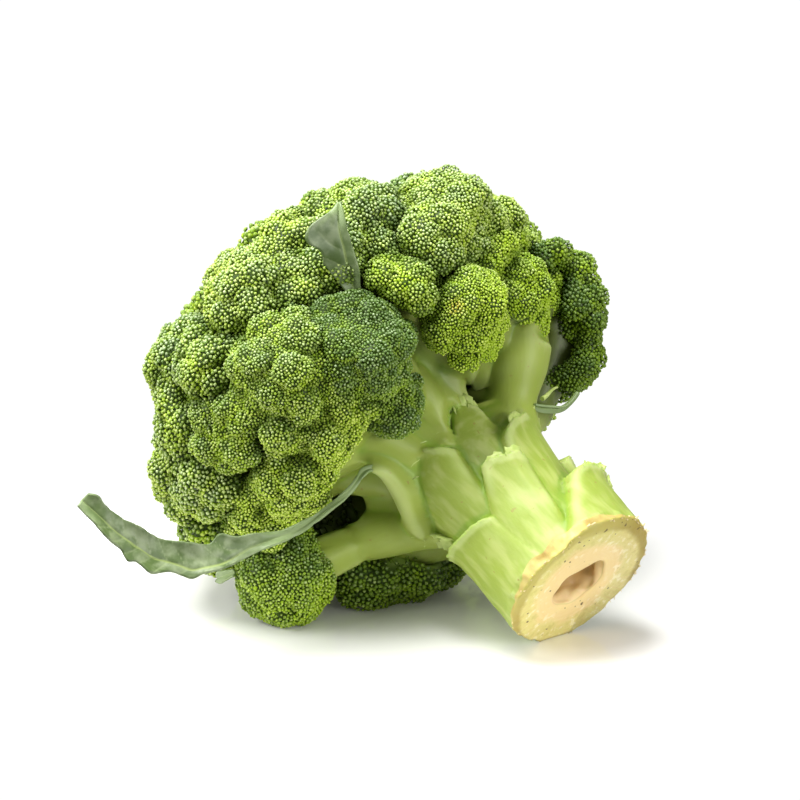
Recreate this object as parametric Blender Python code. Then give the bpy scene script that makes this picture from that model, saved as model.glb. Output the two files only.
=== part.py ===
"""Broccoli head lying on its side: pale stalk with branches, green florets, leaves."""
import math

import bmesh
import bpy
from mathutils import Matrix, Vector, noise

# Driving dimensions, in metres.  The plant is drawn upright: the middle of its cut
# face is the origin and its crown points up.  "Turn" is the angle about the stalk,
# 0 on the side that ends up next to the floor.
MM = 0.001
LEAN = math.radians(63.0)         # how far the stalk tips over from upright
HEADING = math.radians(130.0)     # which way the crown points once it lies down
REST_HEIGHT = 20.8 * MM           # middle of the cut face above the floor
CROWN = Vector((-3.0, 9.0, 97.0)) * MM        # middle of the crown
REACH = Vector((58.0, 66.0, 40.0)) * MM       # from there to the florets' middles
FORK = Vector((0.0, 0.0, 52.0)) * MM          # where the stalk splits into branches
GAP = 0.3 * MM                    # clear space between neighbouring nodes
LEAF_THICK = 0.8 * MM
SWELL = 1.22                      # heads are this much fuller than the dome that shows

# Each floret: node name, colour slot, then its heads as (turn, drop, reach, radius).
# Drop is the angle down from the top of the crown, reach a share of the crown's size.
FLORETS = [
    ("floret_front_dark", "floret_blue", [
        (143, 120, 1.00, 16.0), (141, 144, 1.00, 10.0)]),
    ("floret_left_front", "floret_green", [
        (121, 109, 1.02, 15.0), (128, 130, 1.00, 9.5), (94, 104, 1.00, 11.0)]),
    ("floret_left_front_low", "floret_green", [
        (112, 131, 1.00, 12.0), (87, 131, 1.01, 12.0), (64, 121, 0.99, 12.0)]),
    ("floret_small_middle", "floret_green", [
        (161, 110, 1.00, 9.5)]),
    ("floret_bright", "floret_bright", [
        (180, 127, 1.02, 12.8), (188, 140, 0.98, 8.0)]),
    ("floret_right_middle", "floret_bright", [
        (213, 117, 1.00, 12.5), (232, 106, 1.00, 10.0), (225, 126, 1.00, 7.5)]),
    ("floret_right_small", "floret_green", [
        (201, 107, 1.02, 9.5), (228, 92, 0.97, 11.0), (214, 97, 1.00, 9.0)]),
    ("floret_top_right", "floret_green", [
        (177, 95, 1.02, 12.0), (188, 84, 1.02, 14.0), (208, 82, 0.96, 12.0)]),
    ("floret_top_left", "floret_blue", [
        (163, 72, 1.00, 14.0), (150, 84, 1.00, 9.0)]),
    ("floret_upper_left", "floret_green", [
        (128, 73, 1.00, 13.7), (145, 64, 1.00, 12.0), (124, 52, 1.00, 11.0)]),
    ("floret_left_middle", "floret_blue", [
        (92, 60, 0.99, 13.5), (80, 80, 0.96, 12.0), (106, 82, 1.00, 11.0)]),
    ("floret_left_low", "floret_blue", [
        (62, 84, 1.00, 14.0), (72, 102, 1.02, 10.0)]),
    ("floret_left_low_rear", "floret_blue", [
        (44, 97, 1.05, 14.0), (35, 76, 1.02, 13.0)]),
    ("floret_top_middle", "floret_blue", [
        (192, 62, 0.96, 12.0), (174, 44, 0.97, 14.0)]),
    ("floret_far_right", "floret_blue", [
        (240, 104, 1.10, 8.8), (250, 116, 1.10, 9.0), (264, 121, 1.05, 10.5)]),
    ("floret_bottom_left", "floret_blue", [
        (43, 131, 1.318, 14.8)]),
    ("floret_bottom_middle", "floret_blue", [
        (18, 140, 1.27, 10.0), (5, 145, 1.29, 10.8), (350, 145, 1.31, 8.5)]),
    ("floret_floor", "floret_green", [
        (2, 104, 0.955, 15.0), (20, 92, 1.02, 12.0)]),
    ("floret_floor_rear", "floret_green", [
        (332, 112, 1.083, 14.0), (342, 88, 1.01, 14.0)]),
    ("floret_rear", "floret_green", [
        (290, 100, 0.97, 12.5), (312, 100, 1.02, 14.0), (312, 80, 1.00, 14.0)]),
    ("floret_rear_right", "floret_blue", [
        (260, 82, 1.02, 15.0), (286, 70, 1.00, 16.0)]),
    ("floret_rear_upper", "floret_green", [
        (232, 66, 0.97, 14.0), (212, 48, 0.96, 14.0)]),
    ("floret_crown_low", "floret_green", [
        (8, 64, 1.01, 15.0), (334, 62, 0.99, 16.0), (310, 54, 0.97, 13.0)]),
    ("floret_crown_left", "floret_green", [
        (95, 30, 0.95, 15.0), (62, 52, 0.97, 13.0), (138, 38, 0.96, 13.0),
        (158, 16, 0.97, 15.0)]),
    ("floret_crown", "floret_blue", [
        (28, 28, 1.00, 17.0), (350, 12, 1.00, 15.0), (345, 38, 0.98, 15.0)]),
    ("floret_crown_rear", "floret_green", [
        (290, 32, 0.98, 16.0), (212, 24, 0.98, 16.0), (255, 48, 0.97, 15.0)]),
]


# Bases of cut-off leaves, each a shield that wraps part of the stalk and ends in a cut
# ledge: (turn, height of the ledge, half its angle, rise of the ledge over that angle,
# how far it stands out).
SHIELDS = [
    (74, 31.0, 50, -5.0, 4.6), (152, 37.0, 29, -2.5, 4.0), (103, 55.5, 36, -6.0, 7.5),
    (160, 60.5, 20, -1.0, 6.5), (203, 51.0, 36, 3.0, 4.2), (210, 23.0, 36, -1.5, 6.0),
    (52, 47.0, 15, 0.0, 4.6), (255, 37.0, 38, 2.0, 4.2), (300, 56.0, 32, 0.0, 4.0),
    (322, 28.0, 40, -3.0, 3.6), (12, 44.0, 30, 3.0, 4.0), (262, 13.0, 34, 0.0, 3.6),
]
SHIELD_LENGTH = 38.0              # how far down a shield runs before it dies out

# Limbs that fork from the stalk: (height they leave it, turn, reach and height of their
# ends, radius at the root and at the end), in millimetres.
LIMBS = {
    "front": (42, 106, 38, 70, 9.5, 8.0),
    "front_middle": (48, 139, 34, 72, 8.0, 6.5),
    "middle": (50, 163, 29, 77, 8.5, 7.2),
    "right": (42, 211, 37, 71, 12.5, 11.0),
    "far_right": (46, 264, 36, 67, 8.0, 6.0),
    "rear": (44, 292, 36, 73, 10.0, 8.0),
    "floor_rear": (40, 332, 37, 69, 9.5, 7.5),
    "floor": (38, 8, 37, 68, 9.5, 7.5),
    "bottom_middle": (34, 4, 28, 47, 7.5, 5.0),
    "bottom": (34, 50, 38, 58, 9.0, 8.0),
    "low_left": (44, 72, 37, 76, 9.0, 7.0),
    "crown": (58, 60, 3, 92, 14.0, 11.0),
}
CARRIES = {
    "front": ["left_front", "left_front_low", "upper_left"],
    "front_middle": ["front_dark"],
    "middle": ["small_middle", "bright", "top_left", "top_middle"],
    "right": ["right_middle", "right_small", "top_right", "rear_upper"],
    "far_right": ["far_right"],
    "rear": ["rear", "rear_right"],
    "floor_rear": ["floor_rear"],
    "floor": ["floor", "crown_low"],
    "bottom_middle": ["bottom_middle"],
    "bottom": ["bottom_left"],
    "low_left": ["left_low", "left_low_rear", "left_middle"],
    "crown": ["crown", "crown_left", "crown_rear"],
}
SINGLE = ("rear", "floor_rear", "floor", "crown", "bottom_middle")    # one twig a floret

# Outline of the stalk inside the leaf bases: (height, radius).
STALK = [
    (0, 23.3), (3, 23.1), (8, 22.0), (14, 21.2), (20, 20.6), (28, 19.8), (36, 19.6),
    (44, 19.8), (50, 20.2), (56, 20.4), (61, 19.0), (66, 16.0), (71, 12.0),
]

# Each leaf: centre line in plant millimetres, half width along it, and the direction
# of its width once the plant lies down.
LEAVES = {
    "leaf_long": {
        "line": [(-5, 26, 50), (-8, 41, 57), (-5, 51, 53), (5, 65, 53), (9, 79, 55),
                 (13, 96, 57), (13, 110, 64), (8, 121, 73), (3, 130, 83)],
        "half": [1.6, 1.7, 1.9, 2.6, 5.6, 5.2, 5.6, 5.0, 1.6],
        "side": (0.1, -0.5, -0.86), "wave": 1.2},
    "leaf_upright": {
        "line": [(-50, 40, 87), (-57, 44, 91), (-63, 46, 95), (-69, 48, 100),
                 (-73, 48, 103)],
        "half": [1.6, 3.2, 5.0, 6.6, 3.2],
        "side": (-0.95, -0.1, 0.1), "wave": 1.0},
    "leaf_low": {
        "line": [(38, 69, 69), (42, 69, 72), (46, 68, 75), (50, 66, 78)],
        "half": [1.0, 1.6, 1.8, 1.0],
        "side": (0.1, -0.3, -0.95), "wave": 0.5},
    "leaf_right": {
        "line": [(-25, -12, 53), (-23, -18, 47), (-25, -26, 45), (-27, -31, 47),
                 (-29, -33, 50)],
        "half": [1.3, 1.2, 1.6, 1.8, 1.0],
        "side": (0.0, -0.6, 0.8), "wave": 0.2},
}

# Colours, and how dull each surface is.
COLOURS = {
    "floret_blue": ((0.06, 0.13, 0.06, 1.0), 0.75),
    "floret_green": ((0.10, 0.20, 0.045, 1.0), 0.75),
    "floret_bright": ((0.17, 0.29, 0.04, 1.0), 0.75),
    "stalk_green": ((0.50, 0.62, 0.25, 1.0), 0.45),
    "leaf_green": ((0.20, 0.29, 0.20, 1.0), 0.55),
}

POSE = (Matrix.Translation((0.0, 0.0, REST_HEIGHT))
        @ Matrix.Rotation(HEADING, 4, "Z") @ Matrix.Rotation(LEAN, 4, "Y"))


def clear_scene():
    for item in list(bpy.data.objects):
        bpy.data.objects.remove(item, do_unlink=True)


def make_materials():
    made = {}
    for slot, (colour, roughness) in COLOURS.items():
        material = bpy.data.materials.new(slot)
        material.use_nodes = True
        shader = material.node_tree.nodes["Principled BSDF"]
        shader.inputs["Base Color"].default_value = colour
        shader.inputs["Roughness"].default_value = roughness
        made[slot] = material
    return made


def solid_object(name, points, faces):
    mesh = bpy.data.meshes.new(name)
    mesh.from_pydata([tuple(p) for p in points], [], faces)
    bm = bmesh.new()
    bm.from_mesh(mesh)
    bmesh.ops.triangulate(bm, faces=bm.faces)
    bmesh.ops.recalc_face_normals(bm, faces=bm.faces)
    bm.to_mesh(mesh)
    bm.free()
    item = bpy.data.objects.new(name, mesh)
    bpy.context.scene.collection.objects.link(item)
    return item


def combine(target, operation, others):
    """Apply one Boolean of the target with a collection of solids."""
    if not others:
        return
    group = bpy.data.collections.new("others")
    bpy.context.scene.collection.children.link(group)
    for other in others:
        group.objects.link(other)
    step = target.modifiers.new("combine", "BOOLEAN")
    step.operation = operation
    step.operand_type = "COLLECTION"
    step.collection = group
    step.solver = "MANIFOLD"
    bpy.context.view_layer.update()
    graph = bpy.context.evaluated_depsgraph_get()
    made = bpy.data.meshes.new_from_object(target.evaluated_get(graph))
    target.modifiers.clear()
    target.data = made
    for other in others:
        group.objects.unlink(other)
    bpy.data.collections.remove(group)


def drop(items):
    for item in items:
        bpy.data.objects.remove(item, do_unlink=True)


def spiral_directions(count, lowest, start):
    """Evenly spread directions on a cap about +Z: a golden spiral."""
    found = []
    for i in range(count):
        height = 1.0 - (1.0 - lowest) * (i + 0.5) / count
        around = start + i * 2.399963
        flat = math.sqrt(1.0 - height * height)
        found.append(Vector((flat * math.cos(around), flat * math.sin(around), height)))
    return found


def head_middle(turn, fall, reach):
    turn = math.radians(turn)
    fall = math.radians(fall)
    return CROWN + reach * Vector((
        REACH.x * math.sin(fall) * math.cos(turn),
        REACH.y * math.sin(fall) * math.sin(turn),
        REACH.z * math.cos(fall)))


def valley_directions(lumps):
    """Directions midway between every three neighbouring lumps."""
    bm = bmesh.new()
    for lump in lumps:
        bm.verts.new(lump)
    bmesh.ops.convex_hull(bm, input=bm.verts)
    found = [face.calc_center_median().normalized() for face in bm.faces]
    bm.free()
    return found


def bumpy_ball(radius, start):
    """Points of a ball with rounded lumps on its upper side, as (direction, share)."""
    count = max(6, int(radius * 0.6))
    lumps = spiral_directions(count, -0.35, start)
    under = [Vector((0.0, 0.0, -1.0))]
    under += [Vector((math.cos(a), math.sin(a), -0.75)).normalized()
              for a in (0.4, 1.97, 3.54, 5.11)]
    points = [(way, 1.0) for way in lumps] + [(way, 0.92) for way in under]
    points += [(way, 0.87) for way in valley_directions(lumps + under) if way.z > -0.6]
    spread = 0.56 * math.sqrt(1.35 * 2.0 / count)
    ring = 4 if radius > 14.5 else 3
    for lump in lumps:
        side = lump.orthogonal().normalized()
        other = lump.cross(side)
        for i in range(ring):
            angle = 2.0 * math.pi * i / ring + lump.x
            way = lump + spread * (math.cos(angle) * side + math.sin(angle) * other)
            points.append((way.normalized(), 0.975))
    return points


def full_ball(head):
    """Middle and radius of a head, fuller towards the fork than the dome shows."""
    turn, fall, reach, radius = head
    middle = head_middle(turn, fall, reach)
    outward = (middle - FORK).normalized()
    full = radius * SWELL * MM
    return middle - outward * (full - radius * MM), full, outward


def floret_head(head, grow, seed):
    """One domed head with rounded lumps."""
    middle, full, outward = full_ball(head)
    facing = outward.to_track_quat("Z", "Y")
    bm = bmesh.new()
    shares = {}
    for way, share in bumpy_ball(head[3], seed * 1.7):
        vert = bm.verts.new(way)
        shares[vert] = share
    bmesh.ops.convex_hull(bm, input=bm.verts)
    for vert in bm.verts:
        way = vert.co.copy()
        size = shares[vert] + 0.06 * noise.noise(way * 1.4 + Vector((seed * 3.1, 0, 0)))
        vert.co = middle + facing @ way * (full * size + grow)
    mesh = bpy.data.meshes.new("head")
    bm.to_mesh(mesh)
    bm.free()
    item = bpy.data.objects.new("head", mesh)
    bpy.context.scene.collection.objects.link(item)
    return item


def block_beyond(place, away):
    """A large block whose near face passes through a place, facing back from away."""
    bm = bmesh.new()
    bmesh.ops.create_cube(bm, size=0.2)
    bmesh.ops.translate(bm, verts=bm.verts, vec=(0.0, 0.0, 0.1))
    turn = away.to_track_quat("Z", "Y").to_matrix().to_4x4()
    bmesh.ops.transform(bm, matrix=Matrix.Translation(place) @ turn, verts=bm.verts)
    mesh = bpy.data.meshes.new("block")
    bm.to_mesh(mesh)
    bm.free()
    item = bpy.data.objects.new("block", mesh)
    bpy.context.scene.collection.objects.link(item)
    return item


def neighbour_blocks(name, head):
    """Blocks that part a head from the heads of other florets, midway between them."""
    middle, full, _ = full_ball(head)
    found = []
    for other_name, _, others in FLORETS:
        if other_name == name:
            continue
        for other in others:
            far, size, _ = full_ball(other)
            apart = (far - middle).length
            if apart > (full + size) * 1.08:
                continue
            share = (apart * apart + full * full - size * size) / (2 * apart)
            way = (far - middle).normalized()
            found.append(block_beyond(middle + way * (share - GAP / 2), way))
    return found


def floret_solid(name, heads, seed):
    made = []
    for i, head in enumerate(heads):
        solid = floret_head(head, 0.0, seed + i)
        blocks = neighbour_blocks(name, head)
        combine(solid, "DIFFERENCE", blocks)
        drop(blocks)
        made.append(solid)
    if len(made) > 1:
        combine(made[0], "UNION", made[1:])
        drop(made[1:])
    made[0].name = name
    return made[0]


def shield_height(turn, height):
    """How far the leaf bases stand out from the stalk at one place, in millimetres."""
    total = 0.0
    for middle, ledge, half, rise, stand in SHIELDS:
        across = ((turn - middle + 180.0) % 360.0 - 180.0) / half
        if abs(across) >= 1.0:
            continue
        below = ledge + rise * across - height
        if below < 0.0:
            along = max(0.0, 1.0 + below / 1.2)
        else:
            along = max(0.0, 1.0 - below / SHIELD_LENGTH)
        total = max(total, stand * along * math.sqrt(1.0 - across ** 4))
    return total


def stalk_radius(height):
    for (low, first), (high, second) in zip(STALK, STALK[1:]):
        if height <= high:
            share = (height - low) / (high - low)
            return first + (second - first) * share
    return STALK[-1][1]


def stem_solid(grow):
    """The main stem: rings with the leaf stubs standing out of them."""
    sides = 36
    heights = [0, 6, 13, 17, 22.5, 24.5, 29, 32, 36.5, 38.5, 44, 46, 50.5, 53, 57, 60.5,
               62.5, 71]
    points = []
    for height in heights:
        for side in range(sides):
            turn = 360.0 * side / sides
            radius = stalk_radius(height) + shield_height(turn, height)
            radius = radius * MM + grow
            angle = math.radians(turn)
            low = -grow if height == 0 else grow * height / 71.0
            points.append((radius * math.cos(angle), radius * math.sin(angle),
                           height * MM + low))
    faces = []
    for ring in range(len(heights) - 1):
        for side in range(sides):
            after = (side + 1) % sides
            a = ring * sides
            b = a + sides
            faces.append((a + side, a + after, b + after, b + side))
    faces.append(tuple(reversed(range(sides))))
    last = (len(heights) - 1) * sides
    faces.append(tuple(last + side for side in range(sides)))
    return solid_object("stalk", points, faces)


def tube_solid(name, line, radii, sides):
    """A round branch along a line of points."""
    points = []
    faces = []
    across = None
    for i, place in enumerate(line):
        ahead = line[min(i + 1, len(line) - 1)] - line[max(i - 1, 0)]
        ahead.normalize()
        if across is None:
            across = ahead.orthogonal().normalized()
        across = (across - ahead * across.dot(ahead)).normalized()
        other = ahead.cross(across)
        for side in range(sides):
            angle = 2.0 * math.pi * side / sides
            points.append(place + radii[i] * (math.cos(angle) * across
                                              + math.sin(angle) * other))
    for ring in range(len(line) - 1):
        for side in range(sides):
            after = (side + 1) % sides
            a = ring * sides
            b = a + sides
            faces.append((a + side, a + after, b + after, b + side))
    faces.append(tuple(reversed(range(sides))))
    last = (len(line) - 1) * sides
    faces.append(tuple(last + side for side in range(sides)))
    return solid_object(name, points, faces)


def limb_point(limb, share):
    """A point on the middle line of a limb."""
    low, turn, reach, high, _, _ = limb
    away = Vector((math.cos(math.radians(turn)), math.sin(math.radians(turn)), 0.0))
    up = Vector((0.0, 0.0, 1.0))
    start = away * 7.0 + up * low
    bend = away * (7.0 + reach) * 0.5 + up * (low + (high - low) * 0.62)
    end = away * reach + up * high
    t = share
    return ((1 - t) ** 2 * start + 2 * t * (1 - t) * bend + t * t * end) * MM


def limb_solid(limb, grow):
    rings = 5
    line = [limb_point(limb, i / (rings - 1)) for i in range(rings)]
    radii = []
    for i in range(rings):
        t = i / (rings - 1)
        radii.append((limb[4] + (limb[5] - limb[4]) * t ** 0.7) * MM + grow)
    return tube_solid("limb", line, radii, 8)


def twig_solid(limb, head, grow):
    """A twig from near the end of a limb to one head; it flares under the head."""
    goal, full, outward = full_ball(head)
    start = limb_point(limb, 0.72)
    bend = limb_point(limb, 1.0)
    end = goal - outward * full * 0.2
    line = []
    radii = []
    for i in range(4):
        t = i / 3
        line.append((1 - t) ** 2 * start + 2 * t * (1 - t) * bend + t * t * end)
        slim = limb[5] * 0.8 + (0.42 * head[3] - limb[5] * 0.8) * t
        radii.append((slim + 0.16 * head[3] * t * t) * MM + grow)
    return tube_solid("twig", line, radii, 6)


def pith_cutter():
    """The hollow in the cut end: an uneven, tapering pocket."""
    points = []
    sides = 14
    depths = [-2.0, 0.0, 4.0, 9.0, 13.0]
    shares = [1.05, 1.0, 0.82, 0.6, 0.25]
    for depth, share in zip(depths, shares):
        for side in range(sides):
            angle = 2.0 * math.pi * side / sides
            wide = 6.6 + 1.3 * math.sin(3 * angle + 0.6) + 0.9 * math.cos(5 * angle)
            points.append(Vector((wide * share * math.cos(angle) * 1.15 + 1.0,
                                  wide * share * math.sin(angle) * 0.85 - 1.0,
                                  depth)) * MM)
    faces = []
    for ring in range(len(depths) - 1):
        for side in range(sides):
            after = (side + 1) % sides
            a = ring * sides
            b = a + sides
            faces.append((a + side, a + after, b + after, b + side))
    faces.append(tuple(reversed(range(sides))))
    last = (len(depths) - 1) * sides
    faces.append(tuple(last + side for side in range(sides)))
    return solid_object("pith_cutter", points, faces)


def stalk_solid(grow):
    stem = stem_solid(grow)
    heads_of = {name: heads for name, _, heads in FLORETS}
    branches = []
    for name, limb in LIMBS.items():
        branches.append(limb_solid(limb, grow))
        for floret in CARRIES[name]:
            heads = heads_of["floret_" + floret]
            if name in SINGLE:
                heads = heads[:1]
            for head in heads:
                branches.append(twig_solid(limb, head, grow))
    combine(stem, "UNION", branches)
    drop(branches)
    return stem


def spline(points, share):
    """A point on a smooth curve through the given points."""
    place = share * (len(points) - 1)
    i = min(int(place), len(points) - 2)
    t = place - i
    before = points[max(i - 1, 0)]
    first = points[i]
    second = points[i + 1]
    later = points[min(i + 2, len(points) - 1)]
    return 0.5 * (2 * first + (second - before) * t
                  + (2 * before - 5 * first + 4 * second - later) * t * t
                  + (3 * first - before - 3 * second + later) * t ** 3)


def leaf_solid(name, shape):
    """A thin closed blade; both faces are split into the same triangles."""
    line = [Vector(p) * MM for p in shape["line"]]
    lying = (POSE.to_3x3().inverted() @ Vector(shape["side"])).normalized()
    stations = 3 * (len(line) - 1)
    columns = 4
    length = sum((b - a).length for a, b in zip(line, line[1:])) / MM
    top = []
    bottom = []
    for i in range(stations + 1):
        share = i / stations
        place = spline(line, share)
        ahead = (spline(line, min(share + 0.01, 1.0))
                 - spline(line, max(share - 0.01, 0.0))).normalized()
        side = (lying - ahead * lying.dot(ahead)).normalized()
        normal = ahead.cross(side)
        half = spline(shape["half"], share)
        for j in range(columns + 1):
            across = 2.0 * j / columns - 1.0
            edge = 1.0 + 0.14 * math.sin(share * length * 0.42 + across) * abs(across)
            cup = 0.22 * half * across * across
            wave = shape["wave"] * abs(across) * math.sin(share * length * 0.2 + across)
            point = place + (side * across * half * edge + normal * (cup + wave)) * MM
            top.append(point + normal * LEAF_THICK / 2)
            bottom.append(point - normal * LEAF_THICK / 2)
    return blade_object(name, top, bottom, stations, columns)


def blade_object(name, top, bottom, stations, columns):
    wide = columns + 1
    under = len(top)
    faces = []
    for i in range(stations):
        for j in range(columns):
            a = i * wide + j
            b = a + wide
            faces += [(a, a + 1, b + 1), (a, b + 1, b)]
            faces += [(under + a, under + b + 1, under + a + 1),
                      (under + a, under + b, under + b + 1)]
    for i in range(stations):
        for j in (0, columns):
            a = i * wide + j
            b = a + wide
            faces += [(a, b, under + b), (a, under + b, under + a)]
    for i in (0, stations):
        for j in range(columns):
            a = i * wide + j
            faces += [(a, under + a, under + a + 1), (a, under + a + 1, a + 1)]
    return solid_object(name, top + bottom, faces)


def floor_cutter():
    """Everything under the floor the plant lies on."""
    bm = bmesh.new()
    bmesh.ops.create_cube(bm, size=1.0)
    bmesh.ops.translate(bm, verts=bm.verts, vec=(0.0, 0.0, -0.5))
    bmesh.ops.transform(bm, matrix=POSE.inverted(), verts=bm.verts)
    mesh = bpy.data.meshes.new("floor_cutter")
    bm.to_mesh(mesh)
    bm.free()
    item = bpy.data.objects.new("floor_cutter", mesh)
    bpy.context.scene.collection.objects.link(item)
    return item


def keep_largest(item):
    """Drop loose scraps: keep only the biggest connected body."""
    bm = bmesh.new()
    bm.from_mesh(item.data)
    left = set(bm.faces)
    bodies = []
    while left:
        body = set()
        front = [left.pop()]
        while front:
            face = front.pop()
            body.add(face)
            for edge in face.edges:
                for other in edge.link_faces:
                    if other in left:
                        left.remove(other)
                        front.append(other)
        bodies.append(body)
    bodies.sort(key=lambda body: -sum(face.calc_area() for face in body))
    scraps = [face for body in bodies[1:] for face in body]
    bmesh.ops.delete(bm, geom=scraps, context="FACES")
    bmesh.ops.dissolve_limit(bm, angle_limit=math.radians(3.5), verts=bm.verts,
                             edges=bm.edges)
    bmesh.ops.triangulate(bm, faces=bm.faces)
    bm.to_mesh(item.data)
    bm.free()


def build():
    clear_scene()
    materials = make_materials()
    floor = floor_cutter()
    stalk = stalk_solid(0.0)
    pith = pith_cutter()
    combine(stalk, "DIFFERENCE", [pith, floor])
    drop([pith])
    wide_stalk = stalk_solid(GAP)
    made = [(stalk, "stalk_green")]
    whole_heads = []
    for number, (name, slot, heads) in enumerate(FLORETS):
        solid = floret_solid(name, heads, number * 5 + 1)
        combine(solid, "DIFFERENCE", [wide_stalk, floor])
        made.append((solid, slot))
        whole_heads += [floret_head(head, GAP, number * 5 + 1 + i)
                        for i, head in enumerate(heads)]
    for name, shape in LEAVES.items():
        leaf = leaf_solid(name, shape)
        combine(leaf, "DIFFERENCE", whole_heads + [wide_stalk, floor])
        made.append((leaf, "leaf_green"))
    drop(whole_heads + [wide_stalk, floor])
    plant = bpy.data.objects.new("plant", None)
    bpy.context.scene.collection.objects.link(plant)
    plant.rotation_euler = (0.0, LEAN, HEADING)
    corners = []
    for item, slot in made:
        keep_largest(item)
        item.data.name = item.name
        item.data.materials.clear()
        item.data.materials.append(materials[slot])
        item.parent = plant
        corners += [POSE @ vert.co for vert in item.data.vertices]
    low = Vector([min(c[i] for c in corners) for i in range(3)])
    high = Vector([max(c[i] for c in corners) for i in range(3)])
    plant.location = (-(low.x + high.x) / 2, -(low.y + high.y) / 2,
                      REST_HEIGHT - low.z)
    bpy.context.view_layer.update()


build()
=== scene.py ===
"""Broccoli head lying on its side on a white floor: florets of small buds, stalk, leaves."""
import math

import bmesh
import bpy
import numpy as np
from mathutils import Matrix, Vector, noise
from mathutils.bvhtree import BVHTree
from mathutils.kdtree import KDTree


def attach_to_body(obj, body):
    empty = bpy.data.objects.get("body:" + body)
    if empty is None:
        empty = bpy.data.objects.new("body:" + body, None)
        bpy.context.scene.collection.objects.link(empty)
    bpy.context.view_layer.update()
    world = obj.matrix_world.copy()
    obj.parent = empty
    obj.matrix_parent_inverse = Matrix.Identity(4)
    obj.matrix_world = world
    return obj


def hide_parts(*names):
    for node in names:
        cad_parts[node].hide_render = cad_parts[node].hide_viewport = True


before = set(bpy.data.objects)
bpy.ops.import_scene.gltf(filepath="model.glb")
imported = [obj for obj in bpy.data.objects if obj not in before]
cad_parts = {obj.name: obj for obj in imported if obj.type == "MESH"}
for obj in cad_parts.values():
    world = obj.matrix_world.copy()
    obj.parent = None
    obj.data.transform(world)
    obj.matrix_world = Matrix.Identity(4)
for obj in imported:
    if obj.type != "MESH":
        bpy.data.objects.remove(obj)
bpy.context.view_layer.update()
bpy.ops.object.select_all(action="DESELECT")

# ---------------------------------------------------------------- camera, floor and light
# A plain white studio: the head lies on a glossy white sheet under large soft lamps, seen
# from a little above with a long lens.
camera_data = bpy.data.cameras.new("camera")
camera_data.lens = 135.675
camera_data.sensor_width = 36.0
camera = bpy.data.objects.new("camera", camera_data)
camera.location = (0.010672, -0.893318, 0.336175)
camera.rotation_euler = (math.radians(73.0), 0.0, 0.0)
bpy.context.scene.collection.objects.link(camera)
bpy.context.scene.camera = camera


class Value:
    """A number in a shader; sums written with it add Math nodes."""

    def __init__(self, paint, socket):
        self.paint = paint
        self.socket = socket

    def sum(self, operation, first, second):
        """The Math node for first and second; the operators below all use it."""
        node = self.paint.add("ShaderNodeMath", {"operation": operation},
                              {0: first, 1: second})
        return Value(self.paint, node.outputs[0])

    def __add__(self, other):
        return self.sum("ADD", self, other)

    def __radd__(self, other):
        return self.sum("ADD", other, self)

    def __sub__(self, other):
        return self.sum("SUBTRACT", self, other)

    def __rsub__(self, other):
        return self.sum("SUBTRACT", other, self)

    def __mul__(self, other):
        return self.sum("MULTIPLY", self, other)

    def __rmul__(self, other):
        return self.sum("MULTIPLY", other, self)


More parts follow.
